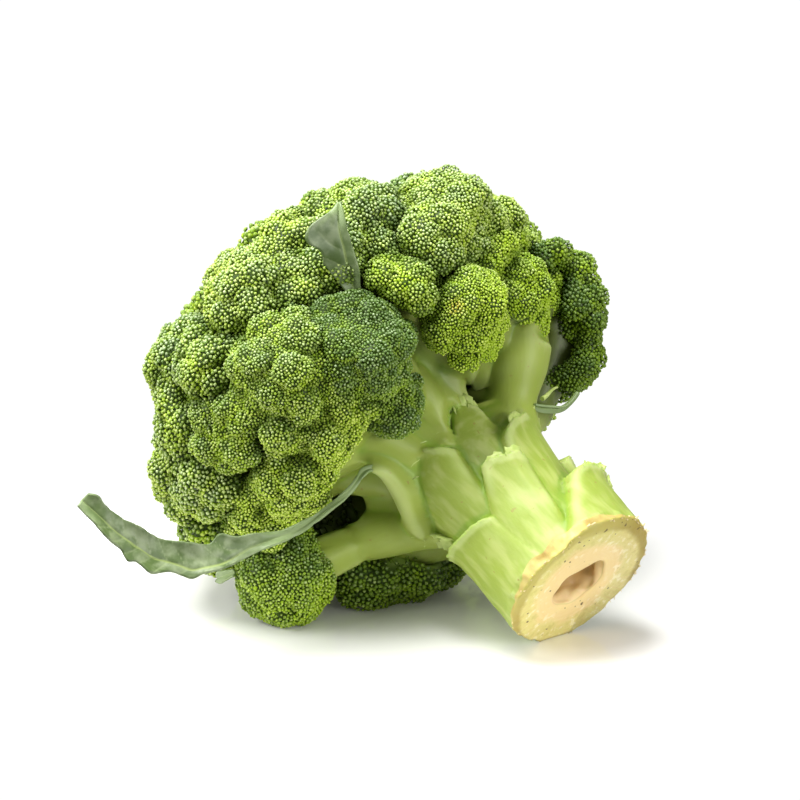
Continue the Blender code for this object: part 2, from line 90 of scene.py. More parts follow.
class Paint:
    """A material and the means to add nodes to it."""

    def __init__(self, name):
        self.material = bpy.data.materials.new(name)
        self.material.use_nodes = True
        self.tree = self.material.node_tree
        self.shader = self.tree.nodes["Principled BSDF"]

    def add(self, kind, settings, values):
        """A new node with these settings, and these values or links at its sockets."""
        node = self.tree.nodes.new(kind)
        for key, setting in settings.items():
            setattr(node, key, setting)
        for key, value in values.items():
            self.put(node.inputs[key], value)
        return node

    def put(self, socket, value):
        """Link a socket to this value, or set it there when it is a plain number."""
        if isinstance(value, Value):
            value = value.socket
        if isinstance(value, bpy.types.NodeSocket):
            self.tree.links.new(value, socket)
        else:
            socket.default_value = value

    def attribute(self, name):
        """A number kept at the points of the mesh."""
        node = self.add("ShaderNodeAttribute", {"attribute_name": name}, {})
        return Value(self, node.outputs["Fac"])

    def vector_attribute(self, name):
        """A direction or place kept at the points of the mesh."""
        node = self.add("ShaderNodeAttribute", {"attribute_name": name}, {})
        return node.outputs["Vector"]

    def place(self):
        """The place on the piece, in metres."""
        return self.add("ShaderNodeTexCoord", {}, {}).outputs["Object"]

    def vector(self, operation, *values):
        """Vector Math on these values: a number or a vector, as the operation gives."""
        node = self.add("ShaderNodeVectorMath", {"operation": operation},
                        dict(enumerate(values)))
        if operation in ("LENGTH", "DISTANCE", "DOT_PRODUCT"):
            return Value(self, node.outputs["Value"])
        return node.outputs["Vector"]

    def noise(self, where, scale, detail=2.0):
        """Cloudy values from 0 to 1."""
        node = self.add("ShaderNodeTexNoise", {},
                        {"Vector": where, "Scale": scale, "Detail": detail})
        return Value(self, node.outputs["Fac"])

    def step(self, value, low, high):
        """0 below low and 1 above high, smooth between."""
        node = self.add("ShaderNodeMapRange", {"interpolation_type": "SMOOTHSTEP"},
                        {"Value": value, "From Min": low, "From Max": high})
        return Value(self, node.outputs["Result"])

    def mix(self, share, first, second, blend="MIX"):
        """The first colour, with this share of the second mixed in."""
        node = self.add("ShaderNodeMix", {"data_type": "RGBA", "blend_type": blend}, {})
        for socket, value in ((node.inputs[0], share), (node.inputs[6], first),
                              (node.inputs[7], second)):
            if isinstance(value, tuple) and len(value) == 3:
                value = (*value, 1.0)
            self.put(socket, value)
        return node.outputs[2]

    def wash(self, colour, *layers):
        """Lay colours over a first one, each through its own mask."""
        for mask, over in layers:
            colour = self.mix(mask, colour, over)
        return colour

    def bump(self, height, strength, distance):
        """Make the surface look raised where the height is more."""
        node = self.add("ShaderNodeBump", {},
                        {"Strength": strength, "Distance": distance, "Height": height})
        self.put(self.shader.inputs["Normal"], node.outputs["Normal"])

    def finish(self, colour, roughness):
        """Put the colour and the roughness on the shader, and give the material."""
        self.put(self.shader.inputs["Base Color"], colour)
        self.put(self.shader.inputs["Roughness"], roughness)
        return self.material


FLOOR_CLEAR = 0.080               # the sheet is whole this far out, in metres
FLOOR_END = 0.150                 # and fades away by here
FLOOR_WHITE = (0.90, 0.895, 0.87, 1.0)
FLOOR_GLOW = (1.0, 0.97, 0.93, 1.0)
bpy.ops.mesh.primitive_circle_add(vertices=96, radius=FLOOR_END, fill_type="TRIFAN")
floor = bpy.context.object
floor.name = "floor"
paint = Paint("floor_white")
reach = paint.vector("LENGTH", paint.place())
paint.put(paint.shader.inputs["Alpha"],
          1.0 - paint.step(reach, FLOOR_CLEAR, FLOOR_END))
floor.data.materials.append(paint.finish(FLOOR_WHITE, 0.035))
paint.shader.inputs["IOR"].default_value = 2.0
paint.shader.inputs["Emission Color"].default_value = FLOOR_GLOW
paint.shader.inputs["Emission Strength"].default_value = 0.02
bpy.ops.object.select_all(action="DESELECT")

SKY_ON_HEAD = 0.38                # how bright the room lights the head
SKY_SEEN = 1.05                   # and how bright it is behind it
world = bpy.data.worlds.new("studio")
bpy.context.scene.world = world
world.use_nodes = True
sky = world.node_tree.nodes["Background"]
sky.inputs["Color"].default_value = (1.0, 1.0, 1.0, 1.0)
rays = world.node_tree.nodes.new("ShaderNodeLightPath")
bright = world.node_tree.nodes.new("ShaderNodeMapRange")
bright.inputs["To Min"].default_value = SKY_ON_HEAD
bright.inputs["To Max"].default_value = SKY_SEEN
world.node_tree.links.new(rays.outputs["Is Camera Ray"], bright.inputs["Value"])
world.node_tree.links.new(bright.outputs["Result"], sky.inputs["Strength"])

LAMP_AIM = Vector((0.0, 0.0, 0.06))
LAMPS = {                         # name: (place, size, watts)
    "lamp_top": ((-0.18, 0.00, 0.85), 0.50, 15.0),
    "lamp_left": ((-0.80, -0.30, 0.50), 0.65, 9.0),
    "lamp_right": ((0.75, -0.55, 0.25), 0.35, 5.5),
}
for name, (place, size, watts) in LAMPS.items():
    lamp_data = bpy.data.lights.new(name, "AREA")
    lamp_data.shape = "SQUARE"
    lamp_data.size = size
    lamp_data.energy = watts
    lamp = bpy.data.objects.new(name, lamp_data)
    lamp.location = place
    way = LAMP_AIM - Vector(place)
    lamp.rotation_euler = way.to_track_quat("-Z", "Y").to_euler()
    bpy.context.scene.collection.objects.link(lamp)
bpy.context.scene.view_settings.view_transform = "Standard"

# ------------------------------------------------------------------------------- florets
# Each floret is a mass of closed flower buds that grew together into domes on domes.  The
# buds are waxy beads: blue-green where the light reached them, yellow-green in the
# valleys and near the stalk.  Their pale tips are partly waxy bloom and partly a painted
# highlight; painted shade darkens the bud bases, the skin between buds, gaps and valleys.
MM = 0.001
# How the head as it grew, with its stem upright from the cut, lies on the floor.
PLANT = (Matrix.Translation((0.063806, -0.048615, 0.0208))
         @ Matrix.Rotation(math.radians(130.0), 4, "Z")
         @ Matrix.Rotation(math.radians(63.0), 4, "Y"))
FORK = PLANT @ (Vector((0.0, 0.0, 52.0)) * MM)   # where the stem divides
rng = np.random.default_rng(7)

# name: (how yellow its buds are, how pale, how wide a bud is in millimetres, how lobed);
# how pale is partly painted light and shade: lower for florets in shade, higher for lit ones.
FLORETS = {
    "floret_front_dark": (0.05, -0.36, 0.86, 0.55),
    "floret_left_front": (0.44, 0.06, 0.86, 0.95),
    "floret_left_front_low": (0.66, 0.3, 0.88, 0.95),
    "floret_small_middle": (0.50, 0.0, 0.92, 0.7),
    "floret_bright": (0.80, -0.08, 0.84, 0.65),
    "floret_right_middle": (0.75, -0.26, 0.88, 0.6),
    "floret_right_small": (0.68, -0.05, 0.92, 0.6),
    "floret_top_right": (0.42, 0.28, 0.96, 0.7),
    "floret_top_left": (0.30, 0.2, 1.02, 0.75),
    "floret_upper_left": (0.46, 0.42, 1.02, 0.85),
    "floret_left_middle": (0.32, 0.22, 1.12, 0.85),
    "floret_left_low": (0.34, 0.5, 1.12, 0.85),
    "floret_left_low_rear": (0.32, 0.1, 1.4, 0.8),
    "floret_top_middle": (0.35, 0.1, 1.35, 0.7),
    "floret_far_right": (0.20, -0.45, 1.1, 1.0),
    "floret_bottom_left": (0.38, -0.28, 0.98, 0.4),
    "floret_bottom_middle": (0.35, -0.35, 1.3, 0.5),
    "floret_floor": (0.40, 0.0, 1.9, 0.9), "floret_floor_rear": (0.40, 0.0, 1.9, 0.9),
    "floret_rear": (0.42, 0.0, 1.8, 0.9), "floret_rear_right": (0.38, 0.0, 1.75, 0.9),
    "floret_rear_upper": (0.42, 0.0, 1.6, 0.9), "floret_crown_low": (0.38, 0.0, 1.8, 0.9),
    "floret_crown_left": (0.38, 0.0, 1.65, 0.9), "floret_crown": (0.34, 0.0, 1.75, 0.9),
    "floret_crown_rear": (0.38, 0.0, 1.75, 0.9),
}
# Smaller domes that fill the valleys: (place in the plant, radius), in millimetres.
SMALL_DOMES = {
    "floret_upper_left": [((-47, 49, 98), 8.0)],
    "floret_left_front": [((-24, 69, 78), 6.0)],
    "floret_left_front_low": [((-17, 68, 69), 7.0)],
    "floret_far_right": [((-40, -49, 83), 7.2), ((-47, -40, 87), 6.4), ((-32, -49, 75), 8.8),
                         ((-19, -48, 65), 6.6), ((-13, -42, 65), 6.2), ((-10, -38, 67), 5.0)],
    "floret_right_small": [((-51, -21, 82), 8.0)],
    "floret_right_middle": [((-57, -8, 81), 7.8)],
}
# Florets set a little off their solids: (shift in metres, how much slimmer).
SHIFTED = {
    "floret_right_small": ((-0.0055, 0.001, 0.001), 0.7),
    "floret_bright": ((-0.0018, 0.0, 0.0018), 0.8),
    "floret_far_right": ((0.0, 0.0, 0.0032), 0.4),
    "floret_right_middle": ((-0.0052, 0.0, 0.0), 0.6),
    "floret_bottom_left": ((-0.0015, 0.0030, 0.0008), 0.5),
    "floret_front_dark": ((-0.0030, 0.0, -0.0025), 1.1),
}
# Florets with a part in shade: the least shade there, which ends between two heights.
DIMMED = {"floret_far_right": 0.70, "floret_bottom_middle": 0.40,
          "floret_bottom_left": 0.15}
DIM_ENDS = (0.078, 0.098)
FLORET_VOXEL = 1.05 * MM
GROW = 2.4 * MM                   # creases narrower than about twice this are filled
SHRINK = 0.9 * MM
LOBES = ((10.5, 3.3), (5.4, 1.1))  # (spacing, rise) of the domes, in millimetres
DOME_RADIUS = 0.62                # as a share of the spacing
DOME_FOOT = 0.65                  # the share of its rise that a dome is sunk
SKIN_KEPT = 0.10                  # the share of a skin's faces kept under the buds
UNDERSIDE = -0.55                 # no buds where a skin faces the fork more than this
COVERED = {"floret_far_right": -0.92, "floret_bottom_left": -0.8}   # less bare than that
SINK = 0.55 * MM                  # how far the skin under the buds is pushed in
BUNCH = 3.1 * MM                  # buds sit in small bunches this wide
BUNCH_RISE = 0.75 * MM
BUD_TRIES = 5.0                   # random places tried for each bud that fits
SHADE_REACH = 11.0                # how near a floret must be to shade a bud, in millimetres
SKY_RAYS = [Vector(ray).normalized() for ray in (
    (1, 0.3, 0.2), (0.2, 1, -0.3), (-0.3, 0.2, 1), (0.7, -0.7, 0.5), (0.6, 0.5, -0.8),
    (-0.6, 0.7, 0.6), (0.8, 0.7, 0.9))]


def piece_of(name, data):
    """A new piece in the scene with this mesh or curve."""
    item = bpy.data.objects.new(name, data)
    bpy.context.scene.collection.objects.link(item)
    return item


def merged_copy(node, name):
    """A copy of a solid with its loose triangles joined."""
    bm = bmesh.new()
    bm.from_mesh(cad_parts[node].data)
    bmesh.ops.remove_doubles(bm, verts=bm.verts, dist=0.00001)
    mesh = bpy.data.meshes.new(name)
    bm.to_mesh(mesh)
    bm.free()
    return piece_of(name, mesh)


def pick(item, *others):
    """Select these pieces alone, the first of them active."""
    bpy.ops.object.select_all(action="DESELECT")
    for each in (item, *others):
        each.select_set(True)
    bpy.context.view_layer.objects.active = item


def apply(item, kind, **settings):
    """Add a modifier with these settings and apply it."""
    pick(item)
    step = item.modifiers.new(kind, kind)
    for key, setting in settings.items():
        setattr(step, key, setting)
    bpy.ops.object.modifier_apply(modifier=step.name)


def places(mesh):
    """The mesh's points as an array."""
    found = np.empty(len(mesh.vertices) * 3)
    mesh.vertices.foreach_get("co", found)
    return found.reshape(-1, 3)


def put_places(mesh, points):
    """Move the mesh's points here."""
    mesh.vertices.foreach_set("co", points.ravel())
    mesh.update()


def put_on_floor(mesh, points):
    """Move the mesh's points here, with any that are under the floor lifted to it."""
    points[:, 2] = np.maximum(points[:, 2], 0.0)
    put_places(mesh, points)


def normals(mesh):
    """Which way the mesh faces at each of its points."""
    found = np.empty(len(mesh.vertices) * 3)
    mesh.vertices.foreach_get("normal", found)
    return found.reshape(-1, 3)


def triangles(mesh):
    """The three points of each of the mesh's triangles."""
    mesh.calc_loop_triangles()
    found = np.empty(len(mesh.loop_triangles) * 3, dtype=np.int32)
    mesh.loop_triangles.foreach_get("vertices", found)
    return found.reshape(-1, 3)


def fill_creases(item, voxel, grow, shrink):
    """Swell a solid and draw it in again, which fills its narrow creases."""
    apply(item, "REMESH", mode="VOXEL", voxel_size=voxel)
    apply(item, "SMOOTH", factor=0.5, iterations=3)
    put_places(item.data, places(item.data) + normals(item.data) * grow)
    apply(item, "REMESH", mode="VOXEL", voxel_size=voxel)
    apply(item, "SMOOTH", factor=0.5, iterations=2)
    put_places(item.data, places(item.data) - normals(item.data) * shrink)
    apply(item, "REMESH", mode="VOXEL", voxel_size=voxel)


def attach(mesh, name, values):
    """Keep a number for each point of the mesh, for its material to read."""
    layer = mesh.attributes.new(name, "FLOAT", "POINT")
    layer.data.foreach_set("value", np.asarray(values, dtype=np.float32))


def smooth_step(value, low, high):
    """0 at low and 1 at high, smooth between."""
    share = ((value - low) / (high - low)).clip(0.0, 1.0)
    return share * share * (3.0 - 2.0 * share)


def unit(rows):
    """These directions, each made one long."""
    return rows / np.linalg.norm(rows, axis=1)[:, None]


def noise_at(points, scale):
    """Uneven values from -1 to 1 at these places."""
    return np.array([noise.noise(Vector(point) * scale) for point in points])


def dart_spots(mesh, apart, dense, underside=UNDERSIDE):
    """Random places on a mesh, at least so far apart."""
    corners = places(mesh)[triangles(mesh)]
    cross = np.cross(corners[:, 1] - corners[:, 0], corners[:, 2] - corners[:, 0])
    size = np.linalg.norm(cross, axis=1) / 2.0
    middle = corners.mean(axis=1)
    facing = cross / np.maximum(np.linalg.norm(cross, axis=1), 1e-12)[:, None]
    out = unit(middle - np.array(FORK))
    size[(facing * out).sum(axis=1) < underside] = 0.0
    count = int(dense * size.sum() / (0.87 * apart * apart))
    chosen = rng.choice(len(size), count, p=size / size.sum())
    a = np.sqrt(rng.random(count))[:, None]
    b = rng.random(count)[:, None]
    picked = corners[chosen]
    spots = picked[:, 0] * (1 - a) + picked[:, 1] * a * (1 - b) + picked[:, 2] * a * b
    return thin_out([Vector(s) for s in spots], apart)


def near_tree(spots):
    """A tree that finds the nearest of these spots."""
    tree = KDTree(len(spots))
    for i, spot in enumerate(spots):
        tree.insert(spot, i)
    tree.balance()
    return tree


def thin_out(spots, apart):
    """The spots that are left when each kept one takes away those too near it."""
    tree = near_tree(spots)
    gone = bytearray(len(spots))
    kept = []
    for i, spot in enumerate(spots):
        if gone[i]:
            continue
        kept.append(spot)
        for _, other, _ in tree.find_range(spot, apart):
            gone[other] = 1
    return kept


def dome_rise(mesh, points, spacing):
    """Round domes about evenly spread middles: each point's height, and its valley."""
    tree = near_tree(dart_spots(mesh, spacing * 0.9 * MM, 3.0))
    rise = np.zeros(len(points))
    valley = np.zeros(len(points))
    for i, point in enumerate(points):
        near = [gap / (spacing * MM) for _, _, gap in tree.find_n(point, 2)]
        rise[i] = math.sqrt(max(0.0, 1.0 - (near[0] / DOME_RADIUS) ** 2))
        if len(near) > 1:
            valley[i] = max(0.0, 1.0 - (near[1] - near[0]) / 0.35)
    return rise, valley


def add_domes(skin, domes):
    """Join a few more balls to a floret's skin."""
    if not domes:
        return
    balls = []
    for place, radius in domes:
        bpy.ops.mesh.primitive_uv_sphere_add(segments=24, ring_count=12,
                                             radius=radius * MM,
                                             location=PLANT @ (Vector(place) * MM))
        balls.append(bpy.context.object)
    pick(skin, *balls)
    bpy.ops.object.join()
    apply(skin, "REMESH", mode="VOXEL", voxel_size=FLORET_VOXEL)


floret_skins = {}
every_point = []
every_face = []
for node in FLORETS:
    skin = merged_copy(node, node + "_skin")
    fill_creases(skin, FLORET_VOXEL, GROW, SHRINK)
    apply(skin, "SMOOTH", factor=0.5, iterations=8)
    add_domes(skin, SMALL_DOMES.get(node, []))
    apply(skin, "SMOOTH", factor=0.5, iterations=4)
    shift, slim = SHIFTED.get(node, ((0.0, 0.0, 0.0), 0.0))
    outward = normals(skin.data)
    points = places(skin.data) + np.array(shift) - outward * slim * MM
    valley = np.zeros(len(points))
    lobed = FLORETS[node][3]
    for spacing, height in LOBES:
        rise, hollow = dome_rise(skin.data, points, spacing)
        points = points + outward * ((rise - DOME_FOOT) * height * lobed * MM)[:, None]
        valley += 0.6 * hollow * min(1.0, lobed + 0.2)
    put_on_floor(skin.data, points)
    attach(skin.data, "valley", valley)
    floret_skins[node] = skin
    start = sum(len(p) for p in every_point)
    every_point.append(points)
    every_face.append(triangles(skin.data) + start)
all_skins = BVHTree.FromPolygons(np.concatenate(every_point).tolist(),
                                 np.concatenate(every_face).tolist())

# One bud, modelled once: a small ball with its underside taken away.
bpy.ops.mesh.primitive_uv_sphere_add(segments=4, ring_count=4, radius=1.0)
bead = bpy.context.object
bm = bmesh.new()
bm.from_mesh(bead.data)
underneath = [vert for vert in bm.verts if vert.co.z < -0.5]
bmesh.ops.delete(bm, geom=underneath, context="VERTS")
bmesh.ops.triangulate(bm, faces=bm.faces)
bm.to_mesh(bead.data)
bm.free()
bead_points = places(bead.data)
bead_points[:, 2] += 0.15
bead_faces = triangles(bead.data)
bpy.data.objects.remove(bead, do_unlink=True)


def spread(spots, tree, wide):
    """Push the spots apart until they lie evenly on the skin."""
    for _ in range(3):
        near = near_tree(spots)
        moved = []
        for i, spot in enumerate(spots):
            push = Vector()
            for place, other, gap in near.find_n(spot, 7):
                if other != i and gap < wide * 1.25:
                    push += (spot - place) * ((wide * 1.25 - gap) / max(gap, 1e-9))
            moved.append(tree.find_nearest(spot + push * 0.22)[0])
        spots = moved
    return spots


def bunch_up(spots):
    """Which way and how far each bud is pushed by its bunch, and how deep in a gap it is."""
    tree = near_tree(thin_out(spots, BUNCH * 0.85))
    lean = np.zeros((len(spots), 3))
    rise = np.zeros(len(spots))
    gap = np.zeros(len(spots))
    for i, spot in enumerate(spots):
        (middle, _, first), (_, _, second) = tree.find_n(spot, 2)
        lean[i] = (spot - middle) / BUNCH
        rise[i] = math.sqrt(max(0.0, 1.0 - (first / (BUNCH * 0.66)) ** 2)) - 0.6
        gap[i] = max(0.0, 1.0 - (second - first) / (BUNCH * 0.45))
    return lean, rise, gap


def shaded(points, facing, reach):
    """How much of the sky over each point the florets within reach take, from 0 to 1."""
    covered = np.zeros(len(points))
    for i, (point, normal) in enumerate(zip(points, facing)):
        start = Vector(point + normal * 0.9 * MM)
        for ray in SKY_RAYS:
            way = ray if ray.dot(Vector(normal)) > 0.0 else -ray
            hit = all_skins.ray_cast(start, way, reach * MM)
            if hit[0] is not None:
                covered[i] += 1.0 - 0.6 * hit[3] / (reach * MM)
    return covered / len(SKY_RAYS)


def bud_frames(facing):
    """Two directions across each bud, turned at random."""
    side = unit(np.cross(facing, np.array([0.31, 0.57, 0.76])))
    other = np.cross(facing, side)
    angle = rng.random(len(facing))[:, None] * 2 * math.pi
    return (side * np.cos(angle) + other * np.sin(angle),
            other * np.cos(angle) - side * np.sin(angle))


def joined_mesh(name, points, faces):
    """One smooth mesh of all these triangles."""
    mesh = bpy.data.meshes.new(name)
    mesh.vertices.add(len(points))
    mesh.vertices.foreach_set("co", points.ravel())
    mesh.loops.add(len(faces) * 3)
    mesh.loops.foreach_set("vertex_index", faces.ravel().astype(np.int32))
    mesh.polygons.add(len(faces))
    mesh.polygons.foreach_set("loop_start", np.arange(len(faces), dtype=np.int32) * 3)
    mesh.update(calc_edges=True)
    mesh.validate()
    mesh.shade_smooth()
    return mesh


def bud_spots(node, skin, wide):
    """Where the buds sit on a skin: nowhere that another floret covers it."""
    tree = BVHTree.FromPolygons(places(skin.data).tolist(), triangles(skin.data).tolist())
    darts = dart_spots(skin.data, wide * 0.80, BUD_TRIES, COVERED.get(node, UNDERSIDE))
    spots = []
    for spot in spread(darts, tree, wide):
        normal = tree.find_nearest(spot)[1]
        if all_skins.ray_cast(spot + normal * 0.4 * MM, normal, 1.3 * MM)[0] is None:
            spots.append(spot)
    return spots


def make_floret(node, skin, yellow, pale, wide):
    """Cover one skin with buds and join all of it into one piece."""
    wide = wide * MM
    spots = bud_spots(node, skin, wide)
    count = len(spots)
    near = near_tree([vert.co for vert in skin.data.vertices])
    index = np.array([near.find(spot)[1] for spot in spots])
    outward = normals(skin.data)[index]
    valley = np.empty(len(skin.data.vertices), dtype=np.float32)
    skin.data.attributes["valley"].data.foreach_get("value", valley)
    valley = valley[index].clip(0, 1)

    # The shape of the buds: each leans and rises with its bunch, and is its own size.
    lean, rise, gap = bunch_up(spots)
    middle = np.array([tuple(spot) for spot in spots])
    middle += outward * (rise * BUNCH_RISE)[:, None]
    facing = unit(outward + lean * 0.9 + rng.normal(0.0, 0.10, (count, 3)))
    side, other = bud_frames(facing)
    size = wide * 0.5 * rng.normal(1.22, 0.13, count).clip(0.85, 1.6)
    tall = size * rng.normal(1.12, 0.12, count).clip(0.8, 1.5)
    local = bead_points[None, :, :]
    buds = (middle[:, None, :]
            + side[:, None, :] * local[..., :1] * size[:, None, None]
            + other[:, None, :] * local[..., 1:2] * size[:, None, None]
            + facing[:, None, :] * local[..., 2:3] * tall[:, None, None])

    # Their colour: how yellow; how pale at the tip, which varies at random and is lowered as
    # painted shade in gaps, valleys and shaded florets; and how much in shade.
    hue = noise_at(spots, 60.0) * 0.35
    hue += 0.55 * valley - 0.30 * facing[:, 2] + 0.06
    hue = (yellow + hue + rng.normal(0.0, 0.05, count)).clip(0, 1)
    # Painted shade: bud tips are duller in the gaps between bunches and in the valleys.
    tone_and_shade = (rng.random(count) * 0.8 + 0.27 + pale - 0.5 * gap - 0.32 * valley).clip(0, 1)
    shade = smooth_step(shaded(middle, outward, SHADE_REACH), 0.05, 0.42)
    low_down = 1.0 - smooth_step(middle[:, 2], *DIM_ENDS)
    shade = np.maximum(shade, DIMMED.get(node, 0.0) * low_down)

    # The skin under them, thinned and pushed in, and all of it in one mesh.
    apply(skin, "DECIMATE", ratio=SKIN_KEPT)
    base = places(skin.data) - normals(skin.data) * SINK
    each = len(bead_points)
    bud_faces = bead_faces[None] + (np.arange(count) * each)[:, None, None]
    points = np.concatenate([buds.reshape(-1, 3), base])
    points[:, 2] = np.maximum(points[:, 2], 0.0)
    faces = np.concatenate([bud_faces.reshape(-1, 3), triangles(skin.data) + count * each])
    mesh = joined_mesh(node, points, faces)
    up = (bead_points[:, 2] - bead_points[:, 2].min()) / np.ptp(bead_points[:, 2])
    out = unit(base - np.array(FORK))
    bare = ((-0.5 - (normals(skin.data) * out).sum(axis=1)) / 0.2).clip(0, 1)
    # These florets' undersides keep the dark skin colour, painted shade, instead of pale bare
    # skin.
    bare *= node not in COVERED
    for name, on_buds, on_skin in (("tip", np.tile(up, count), 0.0),
                                   ("bud", np.ones(count * each), 0.0),
                                   ("hue", np.repeat(hue, each), yellow),
                                   ("tone_and_shade", np.repeat(tone_and_shade, each), 0.5),
                                   ("shade", np.repeat(shade, each), 0.5),
                                   ("bare", np.zeros(count * each), bare)):
        attach(mesh, name, np.concatenate([on_buds, np.zeros(len(base)) + on_skin]))
    bpy.data.objects.remove(skin, do_unlink=True)
    return piece_of(node + "_buds", mesh)


RUST_SPOT = (0.0269, -0.0360, 0.1030)   # a few buds there have begun to turn orange
RUST = (0.50, 0.26, 0.01)
paint = Paint("bud_wax")
tip = paint.attribute("tip")
hue = paint.attribute("hue")
tone_and_shade = paint.attribute("tone_and_shade")
where = paint.place()
grainy = paint.noise(where, 2200.0, 0.0)
body_colour = paint.mix(hue, (0.070, 0.146, 0.010), (0.32, 0.49, 0.003))
tip_colour = paint.mix(hue, (0.52, 0.62, 0.38), (0.74, 0.82, 0.20))
# Each bud starts from a dark colour at its base, painted shade between the buds; the same
# colour makes random dark grains.
dark_grain_and_shade = paint.mix(0.45, body_colour, (0.022, 0.048, 0.002))
# The pale tip is partly waxy bloom and partly a painted highlight.
bloom_and_glint = paint.step(tip, 0.2, 1.0) * (0.15 + 0.85 * tone_and_shade)
bud_colour = paint.wash(
    dark_grain_and_shade,
    (paint.step(tip, 0.0, 0.45), paint.mix(bloom_and_glint, body_colour, tip_colour)),
    (0.4 * paint.step(grainy, 0.40, 0.62), dark_grain_and_shade))
# Painted shade: buds that the florets round them cover are darkened.
bud_in_shade = paint.mix(1.0, bud_colour, (0.28, 0.36, 0.12), "MULTIPLY")
away = paint.vector("DISTANCE", where, RUST_SPOT)
rust = (1.0 - paint.step(away, 0.0005, 0.0045)) * paint.step(grainy, 0.35, 0.6)
bud_colour = paint.wash(
    bud_colour,
    (0.85 * paint.attribute("shade"), bud_in_shade),
    (0.55 * rust, RUST))
# Painted shade: the skin between the buds is near black-green; where it is bare underneath it
# is pale green.
skin_colour = paint.mix(paint.attribute("bare"), (0.045, 0.085, 0.005),
                        (0.34, 0.46, 0.12))
is_bud = paint.attribute("bud")
bud_material = paint.finish(paint.mix(is_bud, skin_colour, bud_colour), 0.42)
paint.shader.inputs["Specular IOR Level"].default_value = 0.22

for node, (yellow, pale, wide, lobed) in FLORETS.items():
    piece = make_floret(node, floret_skins[node], yellow, pale, wide)
    piece.data.materials.append(bud_material)
    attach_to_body(piece, "root")
    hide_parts(node)

# --------------------------------------------------------------------------------- stalk
# A thick fleshy stem that forks into limbs, one to each group of florets.  Its skin is
# smooth and waxy; the bases of leaves cut off it wrap it like overlapping shields, each
# ending in a torn ledge.  The end is a knife cut with a hollow, fibrous pith.
STALK = [                         # (height, radius) inside the leaf bases, in millimetres
    (0, 23.3), (3, 23.1), (8, 22.0), (14, 21.2), (20, 20.6), (28, 19.8), (36, 19.6),
    (44, 19.8), (50, 20.2), (56, 20.4), (61, 19.0), (66, 16.0), (71, 12.0),
]
SHIELDS = [                       # (turn, ledge height, half angle, rise, stand)
    (74, 31.0, 50, -5.0, 4.6), (152, 37.0, 29, -2.5, 4.0), (103, 55.5, 36, -6.0, 7.5),
    (160, 60.5, 20, -1.0, 6.5), (203, 51.0, 36, 3.0, 4.2), (210, 23.0, 36, -1.5, 6.0),
    (52, 47.0, 15, 0.0, 4.6), (255, 37.0, 38, 2.0, 4.2), (300, 56.0, 32, 0.0, 4.0),
    (322, 28.0, 40, -3.0, 3.6), (12, 44.0, 30, 3.0, 4.0), (262, 13.0, 34, 0.0, 3.6),
]
SHIELD_LENGTH = 38.0              # how far down the stem a base runs out
FINE_SHIELDS = [                  # with a lean, how it widens going down, and its length
    (83, 29.5, 38, -5.0, 5.0, 0.1, 0.2, 38), (155, 37.5, 20, -2.5, 5.2, -1.0, 0.5, 38),
    (106, 56.0, 30, -4.5, 6.6, -0.9, 0.6, 38), (160, 61.0, 12, -1.0, 3.0, -0.4, 0.8, 11),
    (201, 49.5, 26, 3.5, 4.6, -0.8, 0.3, 30), (219, 22.5, 29, -1.5, 6.6, -0.8, 1.2, 38),
    (52, 47.0, 15, 0.0, 4.6, 0.0, 0.2, 38), (255, 37.0, 34, 2.0, 4.4, 0.5, 0.4, 38),
    (300, 56.0, 30, 0.0, 4.2, 0.3, 0.4, 38), (322, 28.0, 36, -3.0, 3.8, 0.4, 0.4, 38),
    (12, 44.0, 28, 3.0, 4.2, -0.3, 0.4, 38), (262, 13.0, 30, 0.0, 3.8, 0.0, 0.6, 38),
]
STALK_VOXEL = 0.85 * MM
STALK_GROW = 2.4 * MM             # creases narrower than about twice this are filled
STRETCH = 3.0                     # the cut end is drawn out this far while it is rounded
RAGGED = 1.4                      # how far the torn ledges run up and down
DRY_SIDE = 142.0                  # the turn on which the rim of the cut has dried
PITH_MIDDLE = np.array([1.0, -1.0])
PITH_LONG_WAY = 57.0              # the turn in which the hollow in the cut is longer
FACE_REACH = 17.0                 # the cut face is drawn to the hollow's shape within this
LEAF_FOOT = [(-7, 42, 57), (-8, 39, 56), (-6, 36, 55), (-3, 33, 53), (1, 30, 50), (6, 27, 48),
             (11, 24, 45), (15, 21, 42)]   # the ridge that carries the long leaf
LEAF_FOOT_RADII = [1.3, 2.0, 2.6, 3.1, 3.5, 3.8, 3.8, 3.0]

to_plant = np.array(PLANT.inverted())
to_floor = np.array(PLANT)


def turned(points, matrix):
    """These points moved by a matrix."""
    return points @ matrix[:3, :3].T + matrix[:3, 3]


def in_plant(mesh):
    """The mesh's points in millimetres in the plant as it grew, the cut at height 0."""
    return turned(places(mesh), to_plant) / MM


def spoke_at(turn):
    """The direction straight out from the stem at this turn, in degrees."""
    return math.cos(math.radians(turn)), math.sin(math.radians(turn)), 0.0


def turns(points):
    """How far round the stem each point is, in degrees."""
    return np.degrees(np.arctan2(points[:, 1], points[:, 0]))


def half_turn(degrees):
    """The same turn, counted from -180 to 180 degrees."""
    return (degrees + 180.0) % 360.0 - 180.0


def noise_round(turn, scale, level):
    """Uneven values from -1 to 1 that run round the stem and join up."""
    return np.array([noise.noise(Vector((math.cos(math.radians(t)) * scale,
                                         math.sin(math.radians(t)) * scale, level)))
                     for t in turn])


def shield_rise(turn, height):
    """How far the plain leaf bases of the solid stalk stand out."""
    total = np.zeros(len(turn))
    for middle, ledge, half, rise, stand in SHIELDS:
        across = (half_turn(turn - middle) / half).clip(-1.0, 1.0)
        below = ledge + rise * across - height
        along = np.where(below < 0.0, 1.0 + below / 1.2, 1.0 - below / SHIELD_LENGTH)
        total = np.maximum(total, stand * along.clip(0.0, 1.0) * np.sqrt(1.0 - across ** 4))
    return total


